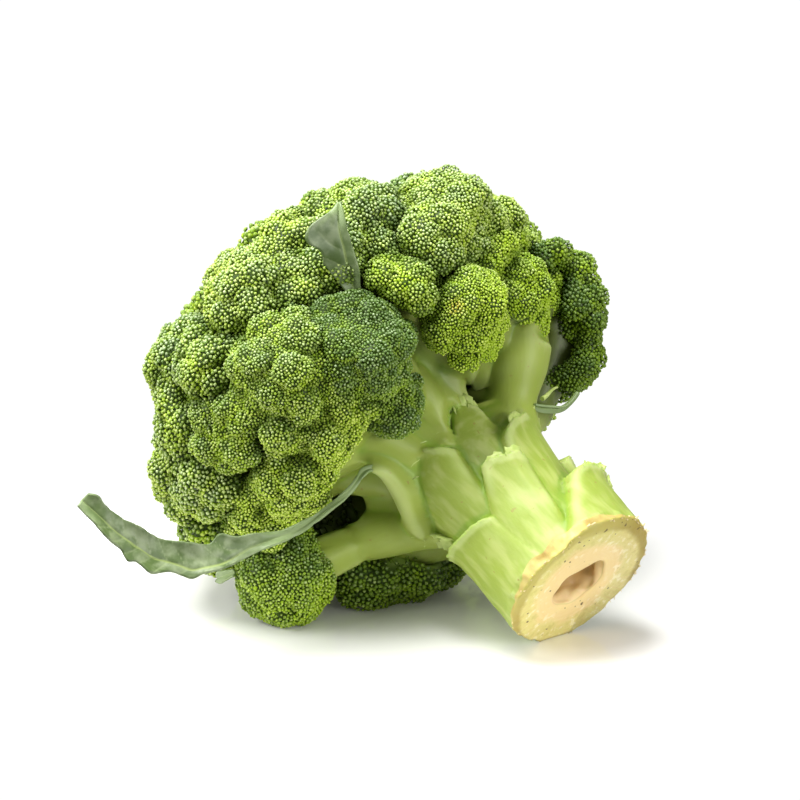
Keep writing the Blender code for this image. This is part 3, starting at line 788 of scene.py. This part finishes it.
def fine_shield_rise(turn, height, ragged):
    """The leaf bases with their lips, and how near each place is to a torn ledge."""
    total = np.zeros(len(turn))
    torn = np.zeros(len(turn))
    for middle, ledge, half, rise, stand, lean, widen, length in FINE_SHIELDS:
        down = (ledge - height).clip(0.0, length)
        across = half_turn(turn - middle - lean * down) / (half + widen * down)
        inside = np.abs(across) < 1.0
        across = across.clip(-1.0, 1.0)
        below = ledge + rise * across - 2.0 * across ** 4 + ragged - height
        above = 1.0 - smooth_step(-below, 0.0, 1.5)
        along = np.where(below < 0.0, above, (1.0 - below / length).clip(0.0, 1.0))
        lip = 1.0 + 0.22 * np.exp(-(below / 3.0) ** 2) * (below > 0.0)
        side = np.sqrt((1.0 - across ** 4).clip(0.0, 1.0))
        shape = np.where(inside, stand * along * side * lip, 0.0)
        edge = np.where(inside & (np.abs(below + 0.5) < 1.3), side, 0.0)
        torn = np.where(shape >= total - 0.3, np.maximum(edge, torn * (shape < total)), torn)
        total = np.maximum(total, shape)
    return total, torn


def tube(name, line, radii):
    """A round tube through these places, in millimetres in the plant, closed at the ends."""
    curve = bpy.data.curves.new(name, "CURVE")
    curve.dimensions = "3D"
    curve.bevel_depth = MM
    curve.bevel_resolution = 3
    curve.use_fill_caps = True
    track = curve.splines.new("NURBS")
    track.points.add(len(line) - 1)
    for i, point in enumerate(line):
        track.points[i].co = (*(PLANT @ (Vector(point) * MM)), 1.0)
        track.points[i].radius = radii[i]
    track.use_endpoint_u = True
    track.order_u = 4
    pick(piece_of(name, curve))
    bpy.ops.object.convert(target="MESH")
    return bpy.context.object


stalk = merged_copy("stalk", "stalk_flesh")
pick(stalk, tube("leaf_foot", LEAF_FOOT, LEAF_FOOT_RADII))
bpy.ops.object.join()
plant_points = in_plant(stalk.data)
plant_points[:, 2] -= STRETCH * (plant_points[:, 2] < 0.05)
put_places(stalk.data, turned(plant_points * MM, to_floor))
fill_creases(stalk, STALK_VOXEL, STALK_GROW, STALK_GROW)
apply(stalk, "SMOOTH", factor=0.5, iterations=6)

# Which points are on the stem's skin, and how far out that should be there: the plain
# leaf bases of the solid are changed for finer ones with torn ledges.
plant_points = in_plant(stalk.data)
height = plant_points[:, 2]
low = -STRETCH + 0.6
height = np.where(height < 1.0, np.maximum(0.0, (height - low) / (1.0 - low)), height)
turn = turns(plant_points)
reach = np.hypot(plant_points[:, 0], plant_points[:, 1])
plain = np.interp(height, [h for h, _ in STALK], [r for _, r in STALK])
ragged = noise_round(turn, 3.5, 0.0) * RAGGED
fine_rise, torn = fine_shield_rise(turn, height, ragged)
off = reach - plain - shield_rise(turn, height)
on_stem = smooth_step(-np.abs(off), -3.4, -1.8) * (1.0 - smooth_step(height, 64.0, 69.0))
on_stem *= (reach > 12.0)
wanted = plain + fine_rise + noise_at(plant_points, 0.09) * 0.8 * (height > 1.0)
wanted += torn * noise_at(plant_points, 0.9) * 0.9
facing = normals(stalk.data) @ np.array(PLANT.to_3x3())
radial = (facing[:, :2] * plant_points[:, :2]).sum(axis=1) / np.maximum(reach, 1.0)
pushed = (smooth_step(fine_rise, 0.8, 2.2) * (wanted > reach) * (reach > 14.0)
          * (height < 66.0))
pushed *= smooth_step(radial, 0.0, 0.35)
on_stem = np.maximum(on_stem, pushed)

# The old cut has dried to a tan, uneven bevel along one side of the rim.
bevel = 4.2 * np.exp(-(half_turn(turn - DRY_SIDE) / 34.0) ** 2) + 0.9
bevel *= 1.0 + 0.5 * ragged / RAGGED
dry = smooth_step(bevel - height, -0.6, 0.9) * (reach > 17.0)
wanted -= 0.22 * (bevel - height).clip(0.0, 9.0)
wanted += 0.8 * (height < 3.0) * noise_round(turn, 9.0, 2.0)
on_face = (height < 0.35) & (reach < plain - 0.6)
scale = 1.0 + on_stem * ~on_face * (wanted - reach) / np.maximum(reach, 1.0)
plant_points[:, 0] *= scale
plant_points[:, 1] *= scale

# The hollow in the cut is long one way and uneven, and the face is drawn out with it.
long_way = np.array(spoke_at(PITH_LONG_WAY)[:2])
off_middle = plant_points[:, :2] - PITH_MIDDLE
gap = np.hypot(off_middle[:, 0], off_middle[:, 1])
long_share = np.abs(off_middle @ long_way) / gap.clip(0.1)
edge = 6.0 + 3.0 * long_share ** 2 + 3.8 * noise_round(turns(off_middle), 1.3, 5.0)
was = float(np.median(gap[(height > 2.0) & (height < 8.0) & (gap < 11.0)]))
shrunk = edge * (1.0 - 0.02 * height.clip(0.0, 14.0))
outer = shrunk + (gap - was) * (FACE_REACH - shrunk) / (FACE_REACH - was)
new_gap = np.where(gap < was, gap / was * shrunk, outer)
ripple = 0.35 * noise_at(plant_points, 0.33) * smooth_step(height, 0.3, 2.5) * (gap < 9.0)
new_gap *= 1.0 + ripple
new_gap = np.where((gap < FACE_REACH) & (height < 16.0), new_gap, gap)
plant_points[:, :2] = PITH_MIDDLE + off_middle * (new_gap / gap.clip(0.1))[:, None]
pith_near = 1.0 - smooth_step(new_gap - edge, 0.3, 1.8)
plant_points[:, 2] = height
put_on_floor(stalk.data, turned(plant_points * MM, to_floor))

LIMBS = [                 # (height, turn, reach, end height, first radius, last, waist)
    (42, 106, 38, 70, 9.5, 8.0, 0.12), (48, 139, 34, 72, 8.0, 6.5, 0.12),
    (50, 163, 29, 77, 8.5, 7.2, 0.15), (42, 211, 37, 71, 12.5, 11.0, 0.28),
    (46, 264, 36, 67, 8.0, 6.0, 0.42), (44, 292, 36, 73, 10.0, 8.0, 0.12),
    (40, 332, 37, 69, 9.5, 7.5, 0.12), (38, 8, 37, 68, 9.5, 7.5, 0.12),
    (34, 4, 28, 47, 7.5, 5.0, 0.1), (34, 50, 38, 58, 9.0, 8.0, 0.12),
    (44, 72, 37, 76, 9.0, 7.0, 0.12),
]
LIMB_STEPS = 40                   # places along a limb's middle line


def limb_line(low, turn, reach, high, first, last):
    """Places along a limb's middle line, in millimetres in the plant, and its radii."""
    away = np.array(spoke_at(turn))
    up = np.array([0.0, 0.0, 1.0])
    start = away * 7.0 + up * low
    bend = away * (7.0 + reach) * 0.5 + up * (low + (high - low) * 0.62)
    end = away * reach + up * high
    t = np.linspace(0.0, 1.0, LIMB_STEPS)[:, None]
    line = (1 - t) ** 2 * start + 2 * t * (1 - t) * bend + t * t * end
    return line, first + (last - first) * t[:, 0] ** 0.7


def round_limbs(points):
    """Draw the faceted limbs out to round ones, where no other limb is near."""
    share = np.full((len(LIMBS), len(points)), 9.0)
    goal = np.zeros((len(LIMBS), len(points), 3))
    for i, limb in enumerate(LIMBS):
        *course, waist = limb
        line, radii = limb_line(*course)
        along = np.linspace(0.0, 1.0, LIMB_STEPS)
        slim = 0.97 - waist * np.exp(-((along - 0.5) / 0.22) ** 2)
        tree = near_tree(line)
        for k in np.nonzero(points[:, 2] > limb[0])[0]:
            place, j, gap = tree.find(points[k])
            if gap < radii[j] * 1.6:
                share[i, k] = gap / radii[j]
                goal[i, k] = place + (Vector(points[k]) - place) * (radii[j] * slim[j] / gap)
    order = np.sort(share, axis=0)
    near = share.argmin(axis=0)
    weight = (smooth_step(-np.abs(order[0] - 0.96), -0.24, -0.12)
              * smooth_step(order[1] - order[0], 0.10, 0.35))
    chosen = goal[near, np.arange(len(points))]
    return points + (chosen - points) * weight[:, None]


# The limbs are rounded, and a cleft is drawn in where they part on the near side.
CLEFT_TURN = 182.0                # the turn of the cleft
LOOSE_HEIGHT = 30.0               # nothing is moved as a limb below this
plant_points = in_plant(stalk.data)
turn = turns(plant_points) % 360.0
reach = np.hypot(plant_points[:, 0], plant_points[:, 1])
cleft = (smooth_step(plant_points[:, 2], 59.0, 64.0)
         * np.exp(-((turn - CLEFT_TURN) / 9.0) ** 2))
cleft *= 1.0 - smooth_step(reach, 30.0, 36.0)
plant_points[:, :2] *= 1.0 - 0.35 * cleft[:, None]
loose = (1.0 - on_stem) * (plant_points[:, 2] > LOOSE_HEIGHT)
rounder = round_limbs(plant_points)
plant_points += (rounder - plant_points) * loose[:, None]
put_on_floor(stalk.data, turned(plant_points * MM, to_floor))
rounded = stalk.vertex_groups.new(name="limbs")
for vert, share in zip(stalk.data.vertices, loose):
    rounded.add([vert.index], float(share), "REPLACE")
apply(stalk, "SMOOTH", factor=0.5, iterations=14, vertex_group="limbs")


def hollows(mesh, rounds):
    """How far each point lies below the mean of the places round it, in millimetres."""
    edges = np.empty(len(mesh.edges) * 2, dtype=np.int32)
    mesh.edges.foreach_get("vertices", edges)
    edges = edges.reshape(-1, 2)
    points = places(mesh)
    count = np.bincount(edges.ravel(), minlength=len(points)).clip(1)
    mean = points
    for _ in range(rounds):
        total = np.zeros_like(mean)
        np.add.at(total, edges[:, 0], mean[edges[:, 1]])
        np.add.at(total, edges[:, 1], mean[edges[:, 0]])
        mean = total / count[:, None]
    return ((mean - points) * normals(mesh)).sum(axis=1) / MM


# What the material reads: where the skin is hollow, torn, dried, painted in shade between
# and behind the limbs, or on a limb, and the directions in which its streaks run.
STREAK_ROOT = np.array([0.0, 0.0, 22.0])   # streaks on the limbs spread from here
STALK_KEPT = 0.40                 # the share of the stalk's faces kept
STALK_SHADE_REACH = 32.0          # how near a floret must be to shade the stalk
plant_points = in_plant(stalk.data)
height = plant_points[:, 2]
reach = np.hypot(plant_points[:, 0], plant_points[:, 1])
# Painted shade: the cleft, the far side of the right limb and the middle under the crown are
# darkened.
far_side = smooth_step(-plant_points[:, 1], 26.0, 32.0) * smooth_step(height, 56.0, 62.0)
turn = turns(plant_points) % 360.0
under = 0.42 * smooth_step(height, 60.0, 68.0) * np.exp(-((turn - 168.0) / 34.0) ** 4)
for name, values in (("hollow", hollows(stalk.data, 12)),
                     ("torn", torn * on_stem),
                     ("height", height),
                     ("dry", dry),
                     ("limb_shade", np.maximum(np.maximum(cleft, 0.85 * far_side), under)),
                     ("pith", pith_near),
                     ("limb", 1.0 - on_stem * (height < 62))):
    attach(stalk.data, name, values)
spoke = unit(plant_points - STREAK_ROOT)
upright = np.stack([plant_points[:, 0] / reach.clip(1), plant_points[:, 1] / reach.clip(1),
                    height * 0.012], axis=1)
blend = smooth_step(height, 44.0, 60.0)[:, None]
grain = stalk.data.attributes.new("grain", "FLOAT_VECTOR", "POINT")
grain.data.foreach_set("vector", (upright * (1 - blend) + spoke * blend)
                       .astype(np.float32).ravel())
apply(stalk, "DECIMATE", ratio=STALK_KEPT)
stalk.data.shade_smooth()
covered = shaded(places(stalk.data), normals(stalk.data), STALK_SHADE_REACH)
attach(stalk.data, "shade", smooth_step(covered, 0.22, 0.72))

# The skin is green with paler streaks, the torn ledges are fibrous; the cut flesh is tan,
# ringed, woolly near the rim, and brown where it has dried.
paint = Paint("stalk_skin")
grain = paint.vector_attribute("grain")
where = paint.place()
height = paint.attribute("height")
hollow = paint.attribute("hollow")
torn = paint.attribute("torn")
axis = tuple(PLANT.to_3x3() @ Vector((0.0, 0.0, 1.0)))
dry_way = tuple(PLANT.to_3x3() @ Vector(spoke_at(DRY_SIDE)))
from_cut = paint.vector("SUBTRACT", where, tuple(PLANT.translation))
off_axis = paint.vector("SUBTRACT", from_cut, paint.vector("PROJECT", from_cut, axis))
reach = paint.vector("LENGTH", off_axis) * 1000.0
dry_side = paint.vector("DOT_PRODUCT", off_axis, dry_way) * 45.0
up_stem = paint.vector("DOT_PRODUCT", from_cut, axis) * 1000.0
cut = 1.0 - paint.step(up_stem, 0.35, 0.75)
streak = paint.noise(grain, 40.0, 3.0)
broad = paint.noise(grain, 6.0, 2.0)
speck = paint.noise(where, 650.0, 0.0)
fleck = paint.noise(where, 900.0, 1.0)
patch = paint.noise(where, 110.0, 4.0)
woolly = paint.noise(where, 420.0, 5.0)
ring = paint.add("ShaderNodeTexNoise", {"noise_dimensions": "1D"},
                 {"W": reach * 0.9, "Scale": 1.0, "Detail": 3.0}).outputs["Fac"]
# Painted shade: the skin high up between the limbs under the crown, and the places marked as
# limb shade, turn near black-green.
shade_under_crown = paint.step(height, 58, 66) * (1.0 - paint.step(reach, 14, 22))
shade_under_crown = 1.0 - (1.0 - 0.8 * shade_under_crown) * (1.0 - 0.9 * paint.attribute("limb_shade"))
skin = paint.wash(
    (0.262, 0.342, 0.046),
    (0.20 * paint.step(streak, 0.3, 0.7), (0.325, 0.402, 0.078)),
    (0.7 * paint.step(broad, 0.42, 0.68), (0.41, 0.465, 0.14)),
    (0.8 * paint.step(paint.attribute("limb"), 0.2, 0.9), (0.29, 0.36, 0.060)),
    (0.6 * paint.step(speck, 0.81, 0.84), (0.28, 0.22, 0.05)),
    (0.6 * paint.step(hollow, 0.05, 0.6), (0.18, 0.32, 0.02)),
    (0.4 * paint.step(hollow * -1.0, 0.1, 0.6), (0.56, 0.63, 0.28)),
    (shade_under_crown, (0.035, 0.055, 0.006)))
in_shade = paint.mix(1.0, skin, (0.42, 0.46, 0.20), "MULTIPLY")
dried = paint.mix(paint.step(patch, 0.35, 0.60), (0.40, 0.27, 0.07), (0.55, 0.46, 0.15))
skin = paint.wash(
    skin,
    (0.8 * paint.attribute("shade"), in_shade),
    (0.8 * paint.step(torn, 0.2, 0.8) * paint.step(fleck, 0.35, 0.6), (0.36, 0.50, 0.10)),
    (paint.step(paint.attribute("dry") + 0.5 * patch, 0.55, 0.95), dried))
flesh = paint.wash(
    (0.74, 0.55, 0.23),
    (ring, (0.80, 0.63, 0.31)),
    (0.6 * paint.step(patch, 0.35, 0.7), (0.80, 0.62, 0.30)),
    (0.65 * paint.step(reach + 8.0 * patch, 18.0, 22.5), (0.60, 0.58, 0.17)),
    (0.5 * paint.step(woolly, 0.54, 0.68) * paint.step(reach, 10, 15), (0.90, 0.84, 0.62)),
    (0.5 * paint.step(woolly, 0.46, 0.36) * paint.step(reach, 13, 18), (0.50, 0.44, 0.11)),
    (0.4 * paint.step(streak, 0.45, 0.65) * paint.step(reach, 14, 20), (0.62, 0.46, 0.17)),
    (0.9 * paint.step(reach + 4.0 * patch + 2.2 * dry_side, 23.4, 25.4), (0.36, 0.27, 0.05)),
    (0.55 * paint.step(paint.attribute("pith"), 0.35, 0.95), (0.76, 0.46, 0.25)),
    (0.5 * paint.step(dry_side, 0.1, 0.9) * paint.step(reach, 12, 21), (0.56, 0.52, 0.14)),
    (0.85 * paint.step(speck, 0.79, 0.83), (0.10, 0.06, 0.02)))
# The wall of the hollow is pith-coloured near the cut and painted darker brown deeper in, as
# shade.
hollow_wall_shaded = paint.mix(paint.step(height + 3.0 * patch, 2.0, 7.0), (0.82, 0.62, 0.31),
                  (0.40, 0.24, 0.07))
inside = (1.0 - paint.step(reach, 11.0, 12.5)) * (1.0 - paint.step(height, 13, 16))
colour = paint.wash(skin, (cut, flesh), (inside * (1.0 - cut), hollow_wall_shaded))
paint.bump(streak * (1.0 - cut) + cut * 3.5 * woolly, 0.10, 0.0006)
stalk.data.materials.append(paint.finish(colour, 0.46))
paint.shader.inputs["Specular IOR Level"].default_value = 0.3
paint.shader.inputs["Subsurface Weight"].default_value = 0.25
paint.shader.inputs["Subsurface Radius"].default_value = (0.6, 1.0, 0.25)
paint.shader.inputs["Subsurface Scale"].default_value = 0.004
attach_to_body(stalk, "root")
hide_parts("stalk")

# ---------------------------------------------------- torn skin, shoots and cut fibres
# Bits left on the stem where leaves were broken off and the end was cut: thin frilled
# flaps of skin standing on the ledges, three small curled shoots between the limbs, and
# short dry fibres round the rim of the cut.
FLAPS = [                         # (turn, half angle, height, tall, how far out)
    (95, 9, 53.0, 4.0, 2.6), (106, 6, 55.5, 3.0, 1.6), (84, 6, 49.5, 3.4, 2.4),
    (127, 8, 58.5, 1.8, 0.8), (160, 8, 60.0, 4.2, 2.4), (168, 5, 59.0, 2.4, 1.2),
    (62, 8, 38.0, 5.5, 3.0), (70, 5, 34.0, 4.0, 2.6), (56, 5, 44.0, 4.0, 2.4),
    (148, 7, 37.5, 2.0, 0.8), (162, 6, 36.0, 2.6, 1.2), (186, 7, 48.0, 2.4, 1.0),
    (218, 7, 51.5, 4.2, 2.6), (226, 5, 50.0, 3.2, 2.2), (206, 6, 22.0, 2.0, 0.8),
    (226, 7, 21.5, 4.2, 2.6), (234, 5, 20.0, 3.2, 2.4), (240, 6, 17.0, 2.6, 1.8),
    (258, 8, 36.5, 3.0, 1.4), (304, 8, 55.5, 2.6, 1.4), (330, 8, 26.5, 2.4, 1.4),
    (14, 8, 43.5, 3.0, 1.4), (42, 6, 46.0, 3.0, 1.6),
]
SHOOTS = [                        # points of each curled shoot, and its radius
    ([(-30, -14, 74), (-32, -16, 75), (-35, -17, 76), (-37, -16, 79)], 1.0),
    ([(-25, -19, 62), (-26, -22, 62), (-27, -23, 65), (-30, -22, 66)], 0.9),
    ([(-24, -18, 53), (-24, -22, 54), (-23, -25, 57), (-24, -27, 56)], 0.8),
]
FLAP_COLUMNS = 9
ROWS = 4                          # of points up a flap, or along a fibre
FIBRES = 150
OUTSIDE = 34.0                    # the stem's skin is looked for inwards from here
stalk_tree = BVHTree.FromPolygons(places(stalk.data).tolist(), triangles(stalk.data).tolist())


def on_skin(turn, height):
    """The way out from the stem at this turn, and how far out its skin is at this height."""
    spoke = Vector(spoke_at(turn))
    start = PLANT @ ((spoke * OUTSIDE + Vector((0.0, 0.0, height))) * MM)
    inward = PLANT.to_3x3() @ -spoke
    hit = stalk_tree.ray_cast(start, inward, 30.0 * MM)[0]
    radius = 21.0 if hit is None else OUTSIDE - (hit - start).length / MM
    return spoke, min(radius, 29.0)


flap_points = []
flap_faces = []
for turn, half, height, tall, out in FLAPS:
    first = len(flap_points)
    for i in range(FLAP_COLUMNS):
        share = i / (FLAP_COLUMNS - 1)
        spoke, radius = on_skin(turn + half * (2.0 * share - 1.0), height - 1.5)
        top = tall * (math.sin(math.pi * share) ** 0.5) * rng.uniform(0.45, 1.25)
        curl = rng.uniform(0.4, 1.3)
        for row in range(ROWS):
            rise = row / (ROWS - 1)
            far = radius - 0.5 + out * curl * rise ** 2 + rng.normal(0.0, 0.12)
            flap_points.append(PLANT @ ((spoke * far + Vector(
                (0.0, 0.0, height - 1.8 + (top + 1.8) * rise))) * MM))
    for i in range(FLAP_COLUMNS - 1):
        for row in range(ROWS - 1):
            corner = first + i * ROWS + row
            flap_faces.append((corner, corner + ROWS, corner + ROWS + 1, corner + 1))
for _ in range(FIBRES):
    turn = rng.uniform(185.0, 345.0) if rng.random() < 0.75 else rng.uniform(20.0, 185.0)
    spoke, radius = on_skin(turn, 0.8)
    along = Vector((-spoke.y, spoke.x, 0.0)) * 0.18
    length = rng.uniform(0.5, 2.0)
    away = rng.uniform(0.1, 1.0)
    first = len(flap_points)
    for row in range(ROWS):
        rise = row / (ROWS - 1)
        middle = (spoke * (radius - 0.8 + length * away * rise)
                  + Vector((0.0, 0.0, 0.9 - length * rise * (1.1 - away))))
        middle += along * 4.0 * rise * rng.normal(0.0, 0.6)
        for side in (-1.0, 1.0):
            flap_points.append(PLANT @ ((middle + along * side * (1.1 - rise)) * MM))
    for row in range(ROWS - 1):
        corner = first + row * 2
        flap_faces.append((corner, corner + 1, corner + 3, corner + 2))
flap_mesh = bpy.data.meshes.new("torn_skin")
flap_mesh.from_pydata(flap_points, [], flap_faces)
torn_skin = piece_of("torn_skin", flap_mesh)
apply(torn_skin, "SOLIDIFY", thickness=0.45 * MM, offset=0.0)
put_on_floor(torn_skin.data, places(torn_skin.data))
height = in_plant(torn_skin.data)[:, 2]
attach(torn_skin.data, "dry", 1.0 - smooth_step(height, 2.0, 5.0))
torn_skin.data.shade_smooth()

shoots = []
for number, (line, radius) in enumerate(SHOOTS):
    taper = [radius * (1.0 - 0.2 * i) for i in range(len(line))]
    shoots.append(tube("shoot_%d" % number, line, taper))

paint = Paint("torn_skin")
where = paint.place()
colour = paint.mix(paint.noise(where, 500.0, 2.0), (0.28, 0.42, 0.05),
                   (0.60, 0.66, 0.24))
straw = paint.mix(paint.noise(where, 700.0, 2.0), (0.50, 0.36, 0.12),
                  (0.86, 0.76, 0.45))
torn_material = paint.finish(paint.mix(paint.attribute("dry"), colour, straw),
                             0.5)
for piece in [torn_skin] + shoots:
    piece.data.materials.append(torn_material)
    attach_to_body(piece, "root")

# -------------------------------------------------------------------------------- leaves
# Small leaves that grew between the florets: thin waxy blades, blue-green above, with a
# pale raised midrib and side veins, a wavy lobed edge and a narrow stem.
LEAF_THICK = 0.7 * MM
LEAVES = {                        # centre line, half widths, and where the midrib runs
    "leaf_long": {
        "line": [(-5, 26, 50), (-8, 41, 57), (-4, 52, 53), (6, 66, 53), (10, 80, 55),
                 (13, 96, 57), (13, 109, 64), (8, 119, 71), (2, 127, 81)],
        "half": [0.8, 0.9, 0.95, 1.3, 2.5, 4.3, 4.6, 4.2, 2.3],
        "rib": [0, 0, 0, 0.2, 0.55, 0.65, 0.25, 0.1, 0.0], "start": 0.10,
        "side": (0.1, -0.5, -0.86), "wave": 0.9,
        "lobes": [(0.57, 0.022, -1, 2.8), (0.50, 0.05, -1, 0.8), (0.66, 0.02, 1, 1.4),
                  (0.76, 0.03, 1, 2.6), (0.82, 0.015, 1, 1.8), (0.90, 0.02, 1, 0.8),
                  (0.97, 0.02, -1, 1.2)]},
    "leaf_upright": {
        "line": [(-50, 40, 87), (-57, 43, 91), (-63, 45, 94), (-69, 46, 98),
                 (-74, 44, 103)],
        "half": [1.5, 3.2, 3.1, 2.4, 0.4],
        "rib": [0, -0.1, -0.2, -0.3, -0.4], "start": 0.0,
        "side": (-0.95, -0.1, 0.1), "wave": 0.8,
        "lobes": [(0.45, 0.22, 1, 3.6), (0.75, 0.13, 1, 9.5)]},
    "leaf_low": {
        "line": [(38, 69, 69), (42, 69, 72), (46, 68, 75), (50, 66, 78)],
        "half": [1.0, 1.6, 1.8, 1.0], "rib": [0, 0, 0, 0], "start": 0.0,
        "side": (0.1, -0.3, -0.95), "wave": 0.3, "lobes": [(0.6, 0.2, 1, 0.4)]},
    "leaf_right": {
        "line": [(-25, -10, 55), (-23, -14, 52), (-22, -19, 50), (-22, -25, 49),
                 (-26, -30, 50)],
        "half": [0.7, 1.3, 1.5, 1.5, 0.6], "rib": [0, 0, 0, 0, 0], "start": 0.25,
        "side": (0.0, -0.6, 0.8), "wave": 0.3, "lobes": [(0.7, 0.1, 1, 0.6)]},
}
LEAF_COLUMNS = 20
VEIN_GAP = 5.5                    # between the side veins, in millimetres


def spline(points, share):
    """A point on a smooth curve through the given points."""
    place = share * (len(points) - 1)
    i = min(int(place), len(points) - 2)
    t = place - i
    before = points[max(i - 1, 0)]
    first = points[i]
    second = points[i + 1]
    later = points[min(i + 2, len(points) - 1)]
    return 0.5 * (2 * first + (second - before) * t
                  + (2 * before - 5 * first + 4 * second - later) * t * t
                  + (3 * first - before - 3 * second + later) * t ** 3)


def leaf_half(shape, share, across, length):
    """Half the blade's width at a place along it, with its lobes and small teeth."""
    half = spline(shape["half"], share)
    for place, reach, side, size in shape["lobes"]:
        if side * across > 0.0:
            half += size * math.exp(-((share - place) / reach) ** 2) * min(1.0, half / 4.0)
    half *= 1.0 + 0.05 * noise.noise(Vector((share * length * 0.35, across, 3.0)))
    return max(half, 0.5)


def make_leaf(name, shape):
    """One leaf: a fine grid bent along its centre line, with ribs, veins and waves."""
    line = [Vector(p) * MM for p in shape["line"]]
    lying = (PLANT.to_3x3().inverted() @ Vector(shape["side"])).normalized()
    length = sum((b - a).length for a, b in zip(line, line[1:])) / MM
    stations = int(length * 1.1)
    bpy.ops.mesh.primitive_grid_add(x_subdivisions=LEAF_COLUMNS, y_subdivisions=stations,
                                    size=2.0)
    leaf = bpy.context.object
    leaf.name = name + "_blade"
    ribs = []
    for vert in leaf.data.vertices:
        across = vert.co.x
        share = shape["start"] + (1.0 - shape["start"]) * (vert.co.y + 1.0) / 2.0
        place = spline(line, share)
        ahead = (spline(line, min(share + 0.01, 1.0))
                 - spline(line, max(share - 0.01, 0.0))).normalized()
        side = (lying - ahead * lying.dot(ahead)).normalized()
        normal = ahead.cross(side)
        half = leaf_half(shape, share, across, length)
        blade = min(1.0, max(0.0, (half - 1.8) / 2.0))
        offset = across - spline(shape["rib"], share) * blade
        rib = math.exp(-(offset * half / (0.5 + 0.5 * (1.0 - share))) ** 2)
        vein = abs(((share * length - abs(offset) * half * 0.9) / VEIN_GAP) % 1.0 - 0.5) * 2.0
        ribs.append((rib, (1.0 - vein) * blade, blade))
        lift = 0.24 * half * across * across - 0.5 * rib
        lift += shape["wave"] * across * across * math.sin(share * length * 0.35
                                                           + across * 1.3)
        lift -= 0.35 * blade * max(0.0, 1.0 - vein * 3.0) * (1 - rib)
        lift += 0.5 * noise.noise(place * 120.0 + side * across * half * 0.2)
        vert.co = PLANT @ (place + (side * across * half + normal * lift) * MM)
    for name, values in zip(("rib", "vein", "blade"), zip(*ribs)):
        attach(leaf.data, name, values)
    apply(leaf, "SOLIDIFY", thickness=LEAF_THICK, offset=0.0)
    leaf.data.transform(leaf.matrix_world)
    leaf.data.shade_smooth()
    put_on_floor(leaf.data, places(leaf.data))
    return leaf


paint = Paint("leaf_wax")
mottle = paint.noise(paint.place(), 260.0, 3.0)
green = paint.wash(
    (0.075, 0.120, 0.030),
    (paint.step(mottle, 0.35, 0.7), (0.20, 0.25, 0.125)),
    (0.6 * paint.step(paint.attribute("vein"), 0.75, 1.0), (0.24, 0.30, 0.14)),
    (0.8 * paint.step(paint.attribute("rib"), 0.4, 0.9), (0.25, 0.32, 0.09)),
    (0.8 - 0.8 * paint.attribute("blade"), (0.22, 0.30, 0.12)))
leaf_material = paint.finish(green, 0.5)
for name, shape in LEAVES.items():
    leaf = make_leaf(name, shape)
    leaf.data.materials.append(leaf_material)
    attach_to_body(leaf, "root")
    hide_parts(name)
